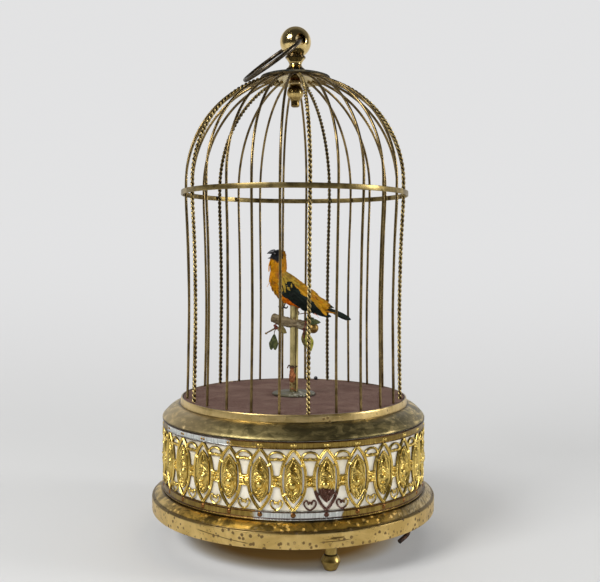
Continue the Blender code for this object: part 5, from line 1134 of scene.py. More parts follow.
ring_near = BORE_WAY * math.cos(lean) + ring_side * math.sin(lean)
ring_path = ring_centre + RING_RADIUS * (-np.cos(a) * ring_way + np.sin(a) * ring_near)
piece("ring_of_wire", round_wire(ring_path, RING_WIRE * (1 + 0.015 * np.sin(7 * a[:, 0])), ring_side, 18, closed=True), ring_finish.material,
      body="carrying_ring", replaces=["carry_ring"])

# %% [markdown]
# The perch is a brass tube that stands on a small round foot and ends in the bird's belly, because
# the rods that move the beak and tail run up inside it. Its front is split by a narrow seam. A real
# twig with its bark on is pushed across it, with a gilt ball on its right end.

# %% Post and its foot
POST_RADIUS, POST_BORE = 2.3 * mm, 1.0 * mm
post_low, post_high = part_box("perch_post")
post_finish = aged_brass("post_brass", (0.74, 0.61, 0.28), (0.50, 0.40, 0.17), 0.35, 0.40, 0.006, 0.25)
x_post, y_post, z_post = post_finish.axes()
lit_side = post_finish.rise(x_post, 0.6 * mm, 1.6 * mm, 0.0, 0.55)
tone = post_finish.mix(lit_side, post_finish.tone, (0.80, 0.62, 0.20))
# Painted shade: a dark line along the seam down the front of the post.
seam_shade = post_finish.sums("MULTIPLY", post_finish.rise(post_finish.sums("ABSOLUTE", post_finish.sums("SUBTRACT", x_post, 0.95 * mm)), 0.10 * mm, 0.50 * mm, 0.9, 0.0),
                             post_finish.rise(y_post, 0.0, -1.5 * mm))
tone = post_finish.mix(seam_shade, tone, (0.09, 0.055, 0.022))
low_down = post_finish.sums("MULTIPLY", post_finish.rise(z_post, 81.5 * mm, 78.0 * mm), post_finish.noise(0.004, 4.0))
post_finish.give("Base Color", post_finish.mix(low_down, tone, (0.22, 0.25, 0.19)))
seam = lambda t, z: -0.28 * mm * np.exp(-((t - 0.42) / 0.09) ** 2)
post_profile = np.concatenate([
    np.column_stack([np.full(30, POST_RADIUS), np.linspace(post_low.z, post_high.z, 30)]),
    np.column_stack([np.full(2, POST_BORE + 0.15 * mm), [post_high.z, post_low.z]]),
])
piece("split_post", turned(post_profile, 96, True, seam), post_finish.material, replaces=["perch_post"])

foot_low, foot_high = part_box("post_flange")
disc_radius = foot_high.x
disc_finish = Finish("patina_disc", (0.15, 0.14, 0.09), 0.6, 0.3)
bloom = disc_finish.noise(0.005, 5.0, 0.65, 0.8)
crust = disc_finish.noise(0.0017, 4.0, 0.7)
patina = disc_finish.mix(disc_finish.rise(bloom, 0.38, 0.60), (0.052, 0.045, 0.022), (0.110, 0.100, 0.058))
residue = disc_finish.sums("MULTIPLY", disc_finish.rise(crust, 0.50, 0.60, 0.0, 0.85), disc_finish.near((4 * mm, -8 * mm, 78 * mm), 0.010))
patina = disc_finish.mix(residue, patina, (0.50, 0.50, 0.42))
disc_finish.give("Base Color", patina)
disc_finish.give("Metallic", disc_finish.rise(crust, 0.50, 0.62, 0.35, 0.0))
disc_finish.give("Roughness", disc_finish.rise(bloom, 0.3, 0.7, 0.38, 0.70))
disc_finish.bump(crust, 0.00025, 0.6)
disc_profile = rounded([
    (disc_radius - 0.3 * mm, foot_low.z, 0.2 * mm), (disc_radius, foot_low.z + 0.45 * mm, 0.3 * mm), (disc_radius - 0.5 * mm, foot_low.z + 0.95 * mm, 0.4 * mm),
    (disc_radius - 2.0 * mm, foot_high.z - 0.42 * mm, 0.6 * mm), (4.4 * mm, foot_high.z - 0.30 * mm, 0.6 * mm), (3.9 * mm, foot_high.z - 0.02 * mm, 0.3 * mm),
    (2.9 * mm, foot_high.z, 0.2 * mm), (2.32 * mm, foot_high.z - 0.1 * mm, 0.1 * mm), (2.32 * mm, foot_low.z, 0.1 * mm),
])
piece("post_foot", turned(disc_profile, 96, True), disc_finish.material, replaces=["post_flange"])

# %% [markdown]
# Bark is a round wire whose radius isn't constant: it swells at knots, and shallow furrows run along
# it. Both are sums of sines of the length and of the angle, so the twig stays one closed surface.

# %% Twig
slant = math.radians(14.0)
TWIG_WAY = np.array([math.cos(slant), 0.0, -math.sin(slant)])
TWIG_MIDDLE = np.array([0.0, 0.0, 116.5]) * mm
along = np.linspace(-13.0, 8.9, 96)
bend = np.column_stack([0 * along, -0.9 + 0.4 * np.sin(along * 0.21 + 0.4), 0.25 * np.sin(along * 0.33)])
twig_path = TWIG_MIDDLE + (along[:, None] * TWIG_WAY + bend) * mm
t = np.linspace(0.0, TURN, 36, endpoint=False)[None, :]
s = along[:, None]
thick = 2.55 + 0.22 * np.exp(-((s + 8.2) / 1.3) ** 2) + 0.20 * np.exp(-((s - 5.0) / 1.0) ** 2) - 0.12 * np.sin(s * 0.4)
end_round = 1 - np.clip((np.abs(s + 2.05) - 9.6) / 1.35, 0, 1) ** 3 * 0.55
furrows = 0.05 * np.sin(7 * t + 0.9 * s) + 0.035 * np.sin(13 * t - 1.7 * s + 2) + 0.03 * np.sin(3 * t + 2.6 * s)
bark_radius = thick * end_round * (1 + furrows) * mm
outline = np.stack([bark_radius * np.cos(t), bark_radius * np.sin(t)], -1)
twig_shape = swept(twig_path, outline, (0.0, 0.0, 1.0))
bark_finish = Finish("grey_bark", (0.20, 0.165, 0.105), 0.8, 0.0)
grain = bark_finish.noise(0.0022, 5.0, 0.65, 0.6, bark_finish.moved(turn=(0.0, slant, 0.0), scale=(0.25, 1.0, 1.0)))
lichen = bark_finish.noise(0.0045, 4.0, 0.6)
bark = bark_finish.mix(bark_finish.rise(grain, 0.36, 0.62), (0.060, 0.042, 0.022), (0.185, 0.140, 0.078))
bark = bark_finish.mix(bark_finish.rise(lichen, 0.52, 0.68, 0.0, 0.6), bark, (0.30, 0.265, 0.185))
bark_finish.give("Specular IOR Level", 0.2)
bark_finish.give("Base Color", bark)
bark_finish.bump(grain, 0.0003, 0.7)
piece("twig", twig_shape, bark_finish.material, replaces=["perch_branch"])

KNOB_RADIUS = 2.95 * mm
knob_middle = TWIG_MIDDLE + TWIG_WAY * 10.9 * mm
knob_profile = [(0.05, -2.9), (1.6, -2.75), (1.75, -2.3), (2.25, -1.9), (2.75, -1.05), (2.95, 0.0), (2.75, 1.05), (2.15, 2.0), (1.2, 2.68), (0.05, 2.93)]
knob_line = curve_through(knob_profile, 36) * mm
points, quads, triangles = turned(knob_line, 48)
turn_to_twig = np.column_stack([np.cross([0.0, 1.0, 0.0], TWIG_WAY), [0.0, 1.0, 0.0], TWIG_WAY])
points = points @ turn_to_twig.T + knob_middle
knob_finish = aged_brass("gilt_knob", (0.58, 0.38, 0.12), (0.26, 0.155, 0.045), 0.8, 0.46, 0.003, 1.0)
piece("twig_knob", (points, quads, triangles), knob_finish.material)

# %% [markdown]
# Dried leaves hang from the twig: a dark heart-shaped one and an olive one on the left, yellow-green
# ones on the right. A leaf is a sheet on a curved midrib: at the share s of its length its half
# width is w(s), it folds up a little on both sides of the rib, and its edges wave.

# %% Leaves
def leaf(root, tip, width, facing, shape="oval", fold=0.25, droop=0.15, rows=22, columns=13):
    """A closed leaf: half width w(s) = width * sin(pi s^p) for an oval, and two lobes for a heart."""
    root, tip, facing = (np.array(v, float) * mm for v in (root, tip, np.array(facing) / mm))
    way = tip - root
    length = np.linalg.norm(way)
    way = way / length
    side = np.cross(way, facing)
    side = side / np.linalg.norm(side)
    face = np.cross(side, way)
    s = np.linspace(0.0, 1.0, rows)[:, None]
    share = np.linspace(-1.0, 1.0, columns)[None, :]
    if shape == "heart":
        spread = 0.15 + 0.85 * np.sin(0.5 * math.pi * s ** 0.9)
        apart = np.abs(share)
        stretch = 1 + s ** 2 * (0.18 * np.sin(math.pi * apart ** 0.8) - 0.10 - 0.30 * apart ** 5)
    else:
        spread = np.sin(math.pi * np.clip(s, 0, 1) ** 0.85) ** 0.8
        stretch = 1 + 0 * share
    half = 0.5 * width * mm * spread + 0.05 * mm
    lift = fold * half * np.abs(share) + 0.06 * width * mm * np.sin(9 * s + 3 * share) * np.abs(share) - droop * length * s ** 2
    top = root + (s * stretch * length)[..., None] * way + (share * half)[..., None] * side + lift[..., None] * face
    under = top[:, ::-1] - 0.22 * mm * face
    return patch(np.concatenate([top, under], 1)[:, ::-1])


leaf_kinds = {
    "dark_leaf": ((0.022, 0.030, 0.010), (0.072, 0.078, 0.024)),
    "olive_leaf": ((0.052, 0.040, 0.014), (0.150, 0.115, 0.036)),
    "yellow_leaf": ((0.120, 0.115, 0.018), (0.300, 0.275, 0.045)),
}
leaf_materials = {}
for name, (deep, pale) in leaf_kinds.items():
    made = Finish(name, pale, 0.62, 0.0)
    mottle, veins = made.noise(0.0016, 4.0, 0.6), made.noise(0.0006, 2.0, 0.5, 2.0)
    tone = made.mix(made.rise(mottle, 0.36, 0.62), deep, pale)
    tone = made.mix(made.rise(veins, 0.56, 0.70, 0.0, 0.5), tone, tuple(1.5 * c for c in pale))
    made.give("Base Color", tone)
    made.give("Specular IOR Level", 0.2)
    made.bump(veins, 0.0002, 0.6)
    leaf_materials[name] = made.material
heart = leaf((-10.8, -3.3, 110.6), (-11.4, -4.0, 102.6), 5.2, (0.1, -1.0, 0.1), "heart", 0.2, 0.05)
piece("heart_leaf", heart, leaf_materials["dark_leaf"])
olive = leaf((-9.2, -2.9, 114.3), (-3.9, -2.7, 111.4), 3.6, (0.1, -1.0, 0.3), "oval", 0.3, 0.10)
piece("olive_leaf", olive, leaf_materials["olive_leaf"])
upper = leaf((7.6, -1.6, 117.3), (14.6, -3.0, 117.2), 3.4, (0.1, -0.9, 0.5), "oval", 0.3, -0.05)
back_leaf = leaf((6.0, 1.4, 117.5), (11.2, 4.4, 119.6), 3.0, (0.1, -0.7, 0.6), "oval", 0.3, 0.1)
piece("green_leaves", together([upper, back_leaf]), leaf_materials["dark_leaf"])
shaded = leaf((5.6, -2.2, 112.6), (6.2, -2.4, 102.8), 3.6, (-0.5, -1.0, 0.0), "oval", 0.3, 0.05)
piece("shaded_leaf", shaded, leaf_materials["olive_leaf"])
hanging = [
    leaf((7.2, -3.0, 110.8), (9.6, -3.6, 101.4), 4.6, (0.3, -1.0, 0.1), "oval", 0.25, 0.06),
    leaf((6.6, 1.9, 111.8), (8.2, 3.2, 103.8), 4.2, (0.2, 1.0, 0.1), "oval", 0.25, 0.08),
]
piece("hanging_leaves", together(hanging), leaf_materials["yellow_leaf"])

# %% Stalks, thread and bud
def sprig(points, thickness, count=18, sides=7):
    """A thin stalk through a few points in mm."""
    path = curve_through(np.array(points, float) * mm, count)
    return round_wire(path, np.linspace(thickness, 0.7 * thickness, count) * mm, (0.31, -0.95, 0.05), sides)


def berry(middle, radius, tall=1.0):
    b = np.linspace(-math.pi / 2 + 0.05, math.pi / 2 - 0.05, 12)
    points, quads, triangles = turned(np.column_stack([np.cos(b) * radius, np.sin(b) * radius * tall]) * mm, 16)
    return points + np.array(middle) * mm, quads, triangles


red_finish = Finish("dark_red", (0.16, 0.030, 0.020), 0.55, 0.0)
dried = red_finish.noise(0.0014, 4.0)
red_finish.give("Base Color", red_finish.mix(red_finish.rise(dried, 0.38, 0.62), (0.040, 0.010, 0.007), (0.150, 0.036, 0.018)))
red_finish.give("Specular IOR Level", 0.2)
red_finish.bump(dried, 0.0003, 0.7)
turns = np.linspace(0.0, 1.5 * TURN, 60)
wound = TWIG_MIDDLE - [0, 0.9 * mm, 0] + (5.6 * mm + turns[:, None] / TURN * 0.42 * mm) * TWIG_WAY
wound = wound + 2.95 * mm * (np.cos(turns)[:, None] * np.array([0.0, 1.0, 0.0]) + np.sin(turns)[:, None] * np.cross(TWIG_WAY, [0.0, 1.0, 0.0]))
thread = [
    round_wire(wound, 0.20 * mm, TWIG_WAY, 7),
    sprig([(-9.9, -2.2, 117.2), (-10.0, -2.9, 115.8), (-9.9, -3.0, 114.6)], 0.42),
    berry((-9.9, -2.9, 114.3), 1.15), berry((-10.7, -2.0, 115.3), 0.7),
    sprig([(5.6, -2.7, 113.2), (5.2, -3.0, 111.2), (5.6, -2.9, 108.4)], 0.40),
    berry((5.4, -2.9, 113.4), 0.85),
]
piece("red_thread_and_berries", together(thread), red_finish.material)

stalk_finish = Finish("dry_stalk", (0.20, 0.13, 0.07), 0.7, 0.0)
fibres = stalk_finish.noise(0.0009, 4.0)
stalk_finish.give("Base Color", stalk_finish.mix(stalk_finish.rise(fibres, 0.36, 0.64), (0.045, 0.028, 0.016), (0.190, 0.125, 0.060)))
stalk_finish.give("Specular IOR Level", 0.2)
stalk_finish.bump(fibres, 0.0002, 0.6)
stalks = [
    sprig([(-10.2, -3.2, 114.0), (-12.8, -3.9, 112.6), (-15.3, -4.4, 111.3)], 0.52), berry((-15.3, -4.4, 111.2), 0.72, 0.8),
    sprig([(-10.0, -3.1, 113.6), (-10.7, -3.3, 112.2), (-10.9, -3.3, 110.4)], 0.30),
    sprig([(7.4, -0.9, 116.6), (8.3, -1.6, 120.4), (6.9, -2.0, 122.2), (3.1, -2.2, 121.8)], 0.34),
    sprig([(6.0, 1.9, 113.6), (6.4, 2.2, 112.4), (6.6, 1.9, 111.6)], 0.30),
]
piece("dry_stalks", together(stalks), stalk_finish.material)

bud_finish = Finish("dried_bud", (0.30, 0.11, 0.055), 0.75, 0.0)
petals = bud_finish.noise(0.0016, 5.0, 0.65, 0.8)
bud_tone = bud_finish.mix(bud_finish.rise(petals, 0.36, 0.62), (0.095, 0.030, 0.014), (0.400, 0.150, 0.055))
bud_tone = bud_finish.mix(bud_finish.rise(bud_finish.axes()[2], 91.6 * mm, 92.6 * mm, 0.0, 0.9), bud_tone, (0.030, 0.022, 0.016))
bud_finish.give("Specular IOR Level", 0.15)
bud_finish.give("Base Color", bud_tone)
bud_finish.bump(petals, 0.0006, 0.9)
b = np.linspace(0.0, 1.0, 30)[:, None]
t = np.linspace(0.0, TURN, 20, endpoint=False)[None, :]
bud_radius = (0.35 + 1.35 * np.sin(math.pi * b ** 0.8) ** 0.7) * (1 + 0.13 * np.sin(3 * t + 7 * b) + 0.10 * np.sin(5 * t - 11 * b)) * mm
bud_points = np.stack([-1.0 * mm + bud_radius * np.sin(t), -3.3 * mm - bud_radius * np.cos(t), (84.0 + 7.8 * b) * mm + 0 * t], -1)
bud = together([
    patch(bud_points), berry((-1.1, -3.1, 92.4), 1.45, 0.8),
    sprig([(-1.4, -3.0, 92.2), (-2.7, -3.5, 93.6), (-3.6, -3.6, 92.0)], 0.42),
    sprig([(-0.6, -3.0, 92.2), (1.0, -3.5, 92.6), (2.0, -3.2, 93.3)], 0.40),
    berry((-0.3, -2.9, 87.0), 1.0, 1.4), berry((-0.9, -3.0, 80.6), 0.75, 0.5), berry((0.7, -2.8, 79.8), 0.55, 0.6),
])
piece("dried_bud", bud, bud_finish.material)

# %% [markdown]
# The bird's body is a row of ellipses set along its spine, each with its place, its half depth, its
# half width and how far it leans. A smooth curve through that table gives as many ellipses as are
# wanted, and the surface is M(s) + D(s) cos t + W(s) sin t.

# %% Bird's body and head
POST_TOP = post_high.z
BODY = np.array([
    (-8.7, 17.1, 5.0, 4.5, 90), (-7.3, 13.8, 6.7, 5.8, 79), (-4.7, 9.9, 8.2, 6.9, 72), (-0.7, 5.6, 8.6, 7.2, 62), (4.0, 2.7, 7.9, 6.4, 58),
    (8.1, 0.7, 6.3, 5.2, 53), (13.7, -2.0, 5.0, 3.6, 49), (16.6, -3.0, 2.9, 1.9, 45), (18.2, -3.9, 0.5, 0.4, 45),
], float)
HEAD = np.array([
    (-8.7, 16.9, 4.6, 4.2, 90), (-8.8, 20.0, 4.9, 4.5, 90), (-8.9, 23.5, 4.75, 4.5, 90), (-8.7, 26.5, 4.0, 3.8, 90),
    (-8.5, 28.4, 2.6, 2.5, 90), (-8.4, 29.2, 0.9, 0.8, 90),
], float)


def on_bird(table, s, t, swell=1.0):
    """The point at the share s along a table of ellipses and the angle t round it, t = 0 on the back."""
    table = np.concatenate([table[:, :2] * mm + [0, POST_TOP], table[:, 2:4] * mm * swell, np.radians(table[:, 4:])], 1)
    rows = curve_through(table, 400)
    at = [np.interp(np.broadcast_to(s, np.broadcast(s, t).shape), np.linspace(0, 1, 400), rows[:, k]) for k in range(5)]
    x, z, deep, wide, lean = at
    return np.stack([x + deep * np.sin(lean) * np.cos(t), wide * np.sin(t), z + deep * np.cos(lean) * np.cos(t)], -1)


def soft_step(value, low, high):
    """0 below low, 1 above high, and 3 u^2 - 2 u^3 between."""
    u = np.clip((value - low) / (high - low), 0, 1)
    return u * u * (3 - 2 * u)


def blended(share, first, second):
    return first * (1 - share[..., None]) + np.asarray(second) * share[..., None]


def plumage(points):
    """The bird's colour at a place, as the photograph's side view shows it: x and z in mm."""
    x, z = points[..., 0] / mm, points[..., 2] / mm
    back = 146.0 - 0.74 * (x + 2.9) - z
    colour = np.broadcast_to(np.array([0.45, 0.186, 0.002]), points.shape).copy()
    belly = soft_step(back, 9.5, 13.0) * soft_step(x, -8.0, -4.0)
    colour = blended(belly, colour, (0.70, 0.150, 0.003))
    breast = (1 - soft_step(x, -14.5, -12.0)) * (1 - soft_step(z, 146.0, 150.0))
    colour = blended(0.7 * breast, colour, (0.66, 0.285, 0.006))
    colour = blended(0.85 * soft_step(x, -12.2, -9.0) * soft_step(z, 137.5, 143.5), colour, (0.40, 0.165, 0.008))
    shoulder = soft_step(x, -9.5, -5.0) * soft_step(z, 134.0, 138.0) * (1 - soft_step(z, 143.5, 146.0)) * (1 - soft_step(x, 0.0, 4.0))
    colour = blended(shoulder * 0.85, colour, (0.25, 0.170, 0.030))
    band = (1 - soft_step(back, 3.0, 6.5)) * soft_step(x, -3.0, 2.0)
    colour = blended(band * 0.9, colour, (0.44, 0.220, 0.018))
    tailward = soft_step(x, 14.5, 18.0) * (1 - soft_step(back, 1.0, 3.0))
    colour = blended(tailward, colour, (0.018, 0.018, 0.011))
    for spot_x, spot_z, size in ((-9.0, 143.5, 1.1), (-11.4, 139.8, 1.0), (-7.8, 145.0, 0.8), (11.2, 130.3, 1.3), (9.0, 131.6, 0.9)):
        colour = blended(0.8 * np.exp(-((x - spot_x) ** 2 + (z - spot_z) ** 2) / size ** 2), colour, (0.14, 0.035, 0.012))
    mask_back = x + 6.6 + 0.9 * np.maximum(0.0, 152.5 - z)
    mask = soft_step(z + 0.62 * (x + 9.5), 149.2, 151.0) * (1 - soft_step(mask_back, -0.6, 0.6))
    crown = soft_step(z, 155.8, 156.8) * (1 - soft_step(x, -6.8, -5.4))
    return blended(np.maximum(mask, crown), colour, (0.012, 0.013, 0.015))


def feather_finish(name, roughness=0.62):
    """Feathers take their colour from the mesh, with fine barbs drawn by where on a feather a point is."""
    made = Finish(name, (0.5, 0.3, 0.05), roughness, 0.0)
    tint = made.paint("tint")["Color"]
    place = made.axes(made.paint("vane")["Vector"])
    barbs = made.add("ShaderNodeTexWave", wave_type="BANDS", bands_direction="X")
    slanting = made.add("ShaderNodeCombineXYZ")
    made.join(made.sums("ADD", place[0], made.sums("MULTIPLY", made.sums("ABSOLUTE", place[1]), -0.35)), slanting.inputs[0])
    made.join(slanting.outputs[0], barbs.inputs["Vector"])
    barbs.inputs["Scale"].default_value = 5.0
    barbs.inputs["Distortion"].default_value = 1.2
    fine = made.sums("MULTIPLY", barbs.outputs["Fac"], 0.30)
    tone = made.mix(fine, tint, made.mix(0.6, tint, (0.0, 0.0, 0.0)))
    patchy = made.noise(0.0035, 4.0, 0.6)
    made.give("Base Color", made.mix(made.rise(patchy, 0.42, 0.72, 0.0, 0.35), tone, (0.10, 0.055, 0.022), "MULTIPLY"))
    made.give("Specular IOR Level", 0.08)
    made.bump(barbs.outputs["Fac"], 0.00008, 0.6)
    return made


def tinted(made, colours, vane=None):
    """Stores a colour, and the place on its feather, at every point of the mesh."""
    layer = made.data.color_attributes.new("tint", "FLOAT_COLOR", "POINT")
    layer.data.foreach_set("color", np.column_stack([colours, np.ones(len(colours))]).astype(np.float32).ravel())
    where = made.data.attributes.new("vane", "FLOAT_VECTOR", "POINT")
    values = np.zeros((len(colours), 3)) if vane is None else vane
    where.data.foreach_set("vector", values.astype(np.float32).ravel())
    return made


SKIN = 0.93
plumage_finish = feather_finish("plumage")
s = np.linspace(0.0, 1.0, 60)[:, None]
t = np.linspace(0.0, TURN, 48, endpoint=False)[None, :]
body_shape = patch(on_bird(BODY, s, -t, SKIN))
bird_body = piece("bird_under_feathers", body_shape, plumage_finish.material, replaces=["bird_body"])
tinted(bird_body, plumage(body_shape[0]))
head_shape = patch(on_bird(HEAD, s, t, SKIN))
bird_head = piece("head_under_feathers", head_shape, plumage_finish.material, body="head", replaces=["bird_head"])
tinted(bird_head, plumage(head_shape[0]))

# %% [markdown]
# Feathers cover it in overlapping rings. One feather is a thin blade with five cross-sections of
# four points, and all of them are made at once: each has a root on the skin, a direction towards
# the tail and a side, and its points are root + length a + side b + outward c.

# %% Small feathers
def blades(roots, ways, outward, length, width, lift=0.12, seed=1, rows=6):
    """Many small feathers as one patch, with the place on the feather of each point."""
    chance = np.random.default_rng(seed)
    count = len(roots)
    ways = ways + 0.16 * chance.standard_normal((count, 3))
    ways -= (ways * outward).sum(1)[:, None] * outward
    ways /= np.linalg.norm(ways, axis=1)[:, None]
    sides = np.cross(ways, outward)
    size = chance.uniform(0.8, 1.2, (count, 1, 1))
    a = np.linspace(0.0, 1.0, rows)[None, :, None]
    half = 0.5 * width * np.sin(math.pi * (0.12 + 0.83 * a)) ** 0.7
    ring_b = np.array([-1.0, 0.0, 1.0, 0.0])[None, None, :]
    ring_c = np.array([0.0, 1.0, 0.0, -1.0])[None, None, :]
    across = ring_b * half * size
    above = ring_c * 0.10 * half - 0.22 * (ring_b ** 2) * half + (lift * a - 0.02) * length
    ahead = a * length * size + 0 * ring_b
    points = roots[:, None, None] + ahead[..., None] * ways[:, None, None] + across[..., None] * sides[:, None, None] + above[..., None] * outward[:, None, None]
    shape = copies_of_grid(points[:, :, ::-1])
    vane = np.stack([a * length / mm + 0 * across, across / mm, 0 * across + chance.uniform(0, 9, (count, 1, 1))], -1)[:, :, ::-1]
    ends = np.stack([vane[:, 0].mean(1), vane[:, -1].mean(1)], 1)
    return shape, np.concatenate([vane.reshape(-1, 3), ends.reshape(-1, 3)])


def copies_of_grid(points):
    """Many grids (count, rows, columns, 3) at once, each closed round its columns and at both ends."""
    count, rows, columns = points.shape[:3]
    _, quads, triangles = patch(points[0])
    body, caps = rows * columns, count * rows * columns
    step = np.arange(count)[:, None, None]
    low = triangles[:, :1] - body
    all_quads = quads[None] + body * step
    all_triangles = np.concatenate([(caps + low)[None] + 2 * step, triangles[None, :, 1:] + body * step], -1)
    ends = np.stack([points[:, 0].mean(1), points[:, -1].mean(1)], 1).reshape(-1, 3)
    return np.concatenate([points.reshape(-1, 3), ends]), all_quads.reshape(-1, 4), all_triangles.reshape(-1, 3)


def coat(table, s, t):
    """Roots, directions to the tail and outward directions on the bird at the shares s and angles t."""
    root = on_bird(table, s, t, SKIN)
    ahead = on_bird(table, np.clip(s + 0.02, 0, 1), t, SKIN) - on_bird(table, np.clip(s - 0.02, 0, 1), t, SKIN)
    aside = on_bird(table, s, t + 0.05, SKIN) - on_bird(table, s, t - 0.05, SKIN)
    ahead /= np.linalg.norm(ahead, axis=1)[:, None]
    outward = np.cross(ahead, aside)
    outward /= np.linalg.norm(outward, axis=1)[:, None]
    inside = (outward * (root - on_bird(table, s, t + math.pi, SKIN))).sum(1) < 0
    outward[inside] *= -1
    return root, ahead, outward


def rings(count, around, s_from, s_to, seed):
    chance = np.random.default_rng(seed)
    s = np.repeat(np.linspace(s_from, s_to, count), around) + chance.uniform(-0.3, 0.3, count * around) * (s_to - s_from) / count
    t = (np.tile(np.arange(around), count) + 0.5 * np.repeat(np.arange(count) % 2, around) + chance.uniform(-0.2, 0.2, count * around)) * TURN / around
    return np.clip(s, 0, 1), t


def dress(name, body, root, ways, outward, length, width, seed, lift=0.12, colour=None, slot="yellow_feathers", wash=0.16):
    """Feathers of one size as a piece, each with its own slightly different tone."""
    shape, vane = blades(root, ways, outward, length * mm, width * mm, lift, seed)
    middle = root + 0.5 * length * mm * ways
    tone = plumage(middle) if colour is None else np.broadcast_to(np.asarray(colour, float), middle.shape)
    chance = np.random.default_rng(seed + 50)
    tone = tone * np.exp(wash * chance.standard_normal((len(root), 1))) * (1 + 0.05 * chance.standard_normal((len(root), 3)))
    per_feather = (len(shape[0]) - 2 * len(root)) // len(root)
    colours = np.concatenate([np.repeat(tone, per_feather, 0), np.repeat(tone, 2, 0)])
    made = piece(name, shape, plumage_finish.material, body=body, sharp=80.0)
    return tinted(made, np.clip(colours, 0, 1), vane)


s_body, t_body = rings(28, 26, 0.02, 0.86, 21)
dress("body_feathers", "cage_and_base", *coat(BODY, s_body, t_body), 3.4, 1.9, 31)
s_head, t_head = rings(16, 22, 0.93, 0.0, 22)
root, ahead, outward = coat(HEAD, s_head, t_head)
dress("head_feathers", "head", root, -ahead, outward, 1.9, 1.25, 32, 0.08)

# %% Beak and eyes
horn_finish = Finish("black_horn", (0.020, 0.020, 0.022), 0.30, 0.0)
horn_grain = horn_finish.noise(0.0010, 3.0)
horn_finish.give("Base Color", horn_finish.mix(horn_finish.rise(horn_grain, 0.4, 0.65), (0.012, 0.012, 0.014), (0.045, 0.046, 0.052)))
horn_finish.bump(horn_grain, 0.0001, 0.5)


def beak_half(line, halves, name, body, replaces=()):
    """Ellipses along a line in mm, each (x, z, half height, half width), closed at the tip."""
    rows = curve_through(np.column_stack([line, halves]), 24) * mm
    t = np.linspace(0.0, TURN, 20, endpoint=False)[None, :]
    points = np.stack([rows[:, :1] + 0 * t, rows[:, 3:4] * np.sin(t), rows[:, 1:2] + rows[:, 2:3] * np.cos(t)], -1)
    return piece(name, patch(points[:, ::-1]), horn_finish.material, body=body, replaces=list(replaces))


beak_half([(-10.6, 155.7), (-12.0, 155.75), (-13.4, 155.6), (-14.6, 155.15), (-15.25, 154.7)],
          [(1.5, 1.7), (1.35, 1.35), (0.95, 0.85), (0.42, 0.40), (0.06, 0.06)], "upper_beak", "head")
beak_half([(-11.0, 153.15), (-12.0, 152.95), (-13.1, 152.65), (-14.1, 152.35), (-14.75, 152.25)],
          [(0.7, 1.2), (0.72, 1.05), (0.55, 0.72), (0.30, 0.36), (0.06, 0.06)], "lower_beak", "beak", ["bird_lower_beak"])
eye_finish = Finish("glass_eye", (0.006, 0.005, 0.005), 0.05, 0.0)
eye_ring = eye_finish.noise(0.0012, 2.0)
eye_finish.give("Base Color", eye_finish.mix(eye_finish.rise(eye_ring, 0.4, 0.7), (0.004, 0.004, 0.004), (0.020, 0.012, 0.008)))
eye_finish.give("Coat Weight", 0.6)
eyes = together([berry((-10.6, side * 4.05, 154.9), 0.68) for side in (-1, 1)])
piece("bird_eyes", eyes, eye_finish.material, body="head")

# %% [markdown]
# The folded wing lies on the flank. In the side view it runs between two edges, so a point of it is
# found by its share s from shoulder to tip and its share u from the lower edge to the upper one, and
# its distance from the middle is that of the body there. Long flight feathers lie on it side by side,
# and short coverts in rows over their roots.

# %% Wings
WING_UPPER = np.array([(-6.9, 137.4), (-4.6, 138.7), (-1.6, 137.9), (6.3, 132.0), (10.6, 129.2), (13.8, 126.2), (17.2, 122.6), (20.3, 120.7)])
WING_LOWER = np.array([(-7.2, 137.0), (-6.6, 133.8), (-2.9, 130.3), (0.2, 127.7), (4.2, 125.0), (8.9, 123.2), (15.6, 121.0), (20.3, 120.3)])
cloud_s, cloud_t = np.meshgrid(np.linspace(0, 1, 120), np.linspace(0, math.pi, 60))
cloud = on_bird(BODY, cloud_s.ravel(), cloud_t.ravel(), 1.0) / mm


def on_flank(x, z, s, side, stand_off):
    """The place on the flank where the side view shows (x, z), both in mm."""
    flat = np.stack([x.ravel(), z.ravel()], -1)
    gap = (flat[:, None, 0] - cloud[None, :, 0]) ** 2 + (flat[:, None, 1] - cloud[None, :, 2]) ** 2
    near = np.exp(-(gap - gap.min(1)[:, None]) / 0.5)
    out = (near * cloud[None, :, 1]).sum(1) / near.sum(1)
    out = np.maximum(out, 4.4 - 2.2 * s.ravel()).reshape(x.shape) + stand_off
    return np.stack([x, side * out, z], -1) * mm


def on_wing(s, u, side, stand_off=0.75):
    """A point of the folded wing: s from shoulder to tip, u from the lower edge (0) to the upper (1)."""
    knots = np.linspace(0, 1, 200)
    upper_line, lower_line = curve_through(WING_UPPER, 200), curve_through(WING_LOWER, 200)
    s, u = np.broadcast_arrays(s, u)
    x = (1 - u) * np.interp(s, knots, lower_line[:, 0]) + u * np.interp(s, knots, upper_line[:, 0])
    z = (1 - u) * np.interp(s, knots, lower_line[:, 1]) + u * np.interp(s, knots, upper_line[:, 1])
    return on_flank(x, z, s, side, stand_off)


def flight_feather(side, s_from, u_from, s_to, u_to, width, stand_off, rows=16):
    """One long feather along the wing, a flat lens in section, pointed at its tip."""
    share = np.linspace(0.0, 1.0, rows)
    path = on_wing(s_from + (s_to - s_from) * share, u_from + (u_to - u_from) * share, side, stand_off)
    return flat_feather(path, share, side, width)


def shoulder_feather(side, root, tip, width, stand_off, rows=16):
    """A pointed feather over the wing's shoulder, from one place of the side view to another."""
    share = np.linspace(0.0, 1.0, rows)
    x, z = (root[k] + (tip[k] - root[k]) * share for k in (0, 1))
    return flat_feather(on_flank(x + 0.4 * np.sin(math.pi * share), z, 0.2 * share, side, stand_off), share, side, width)


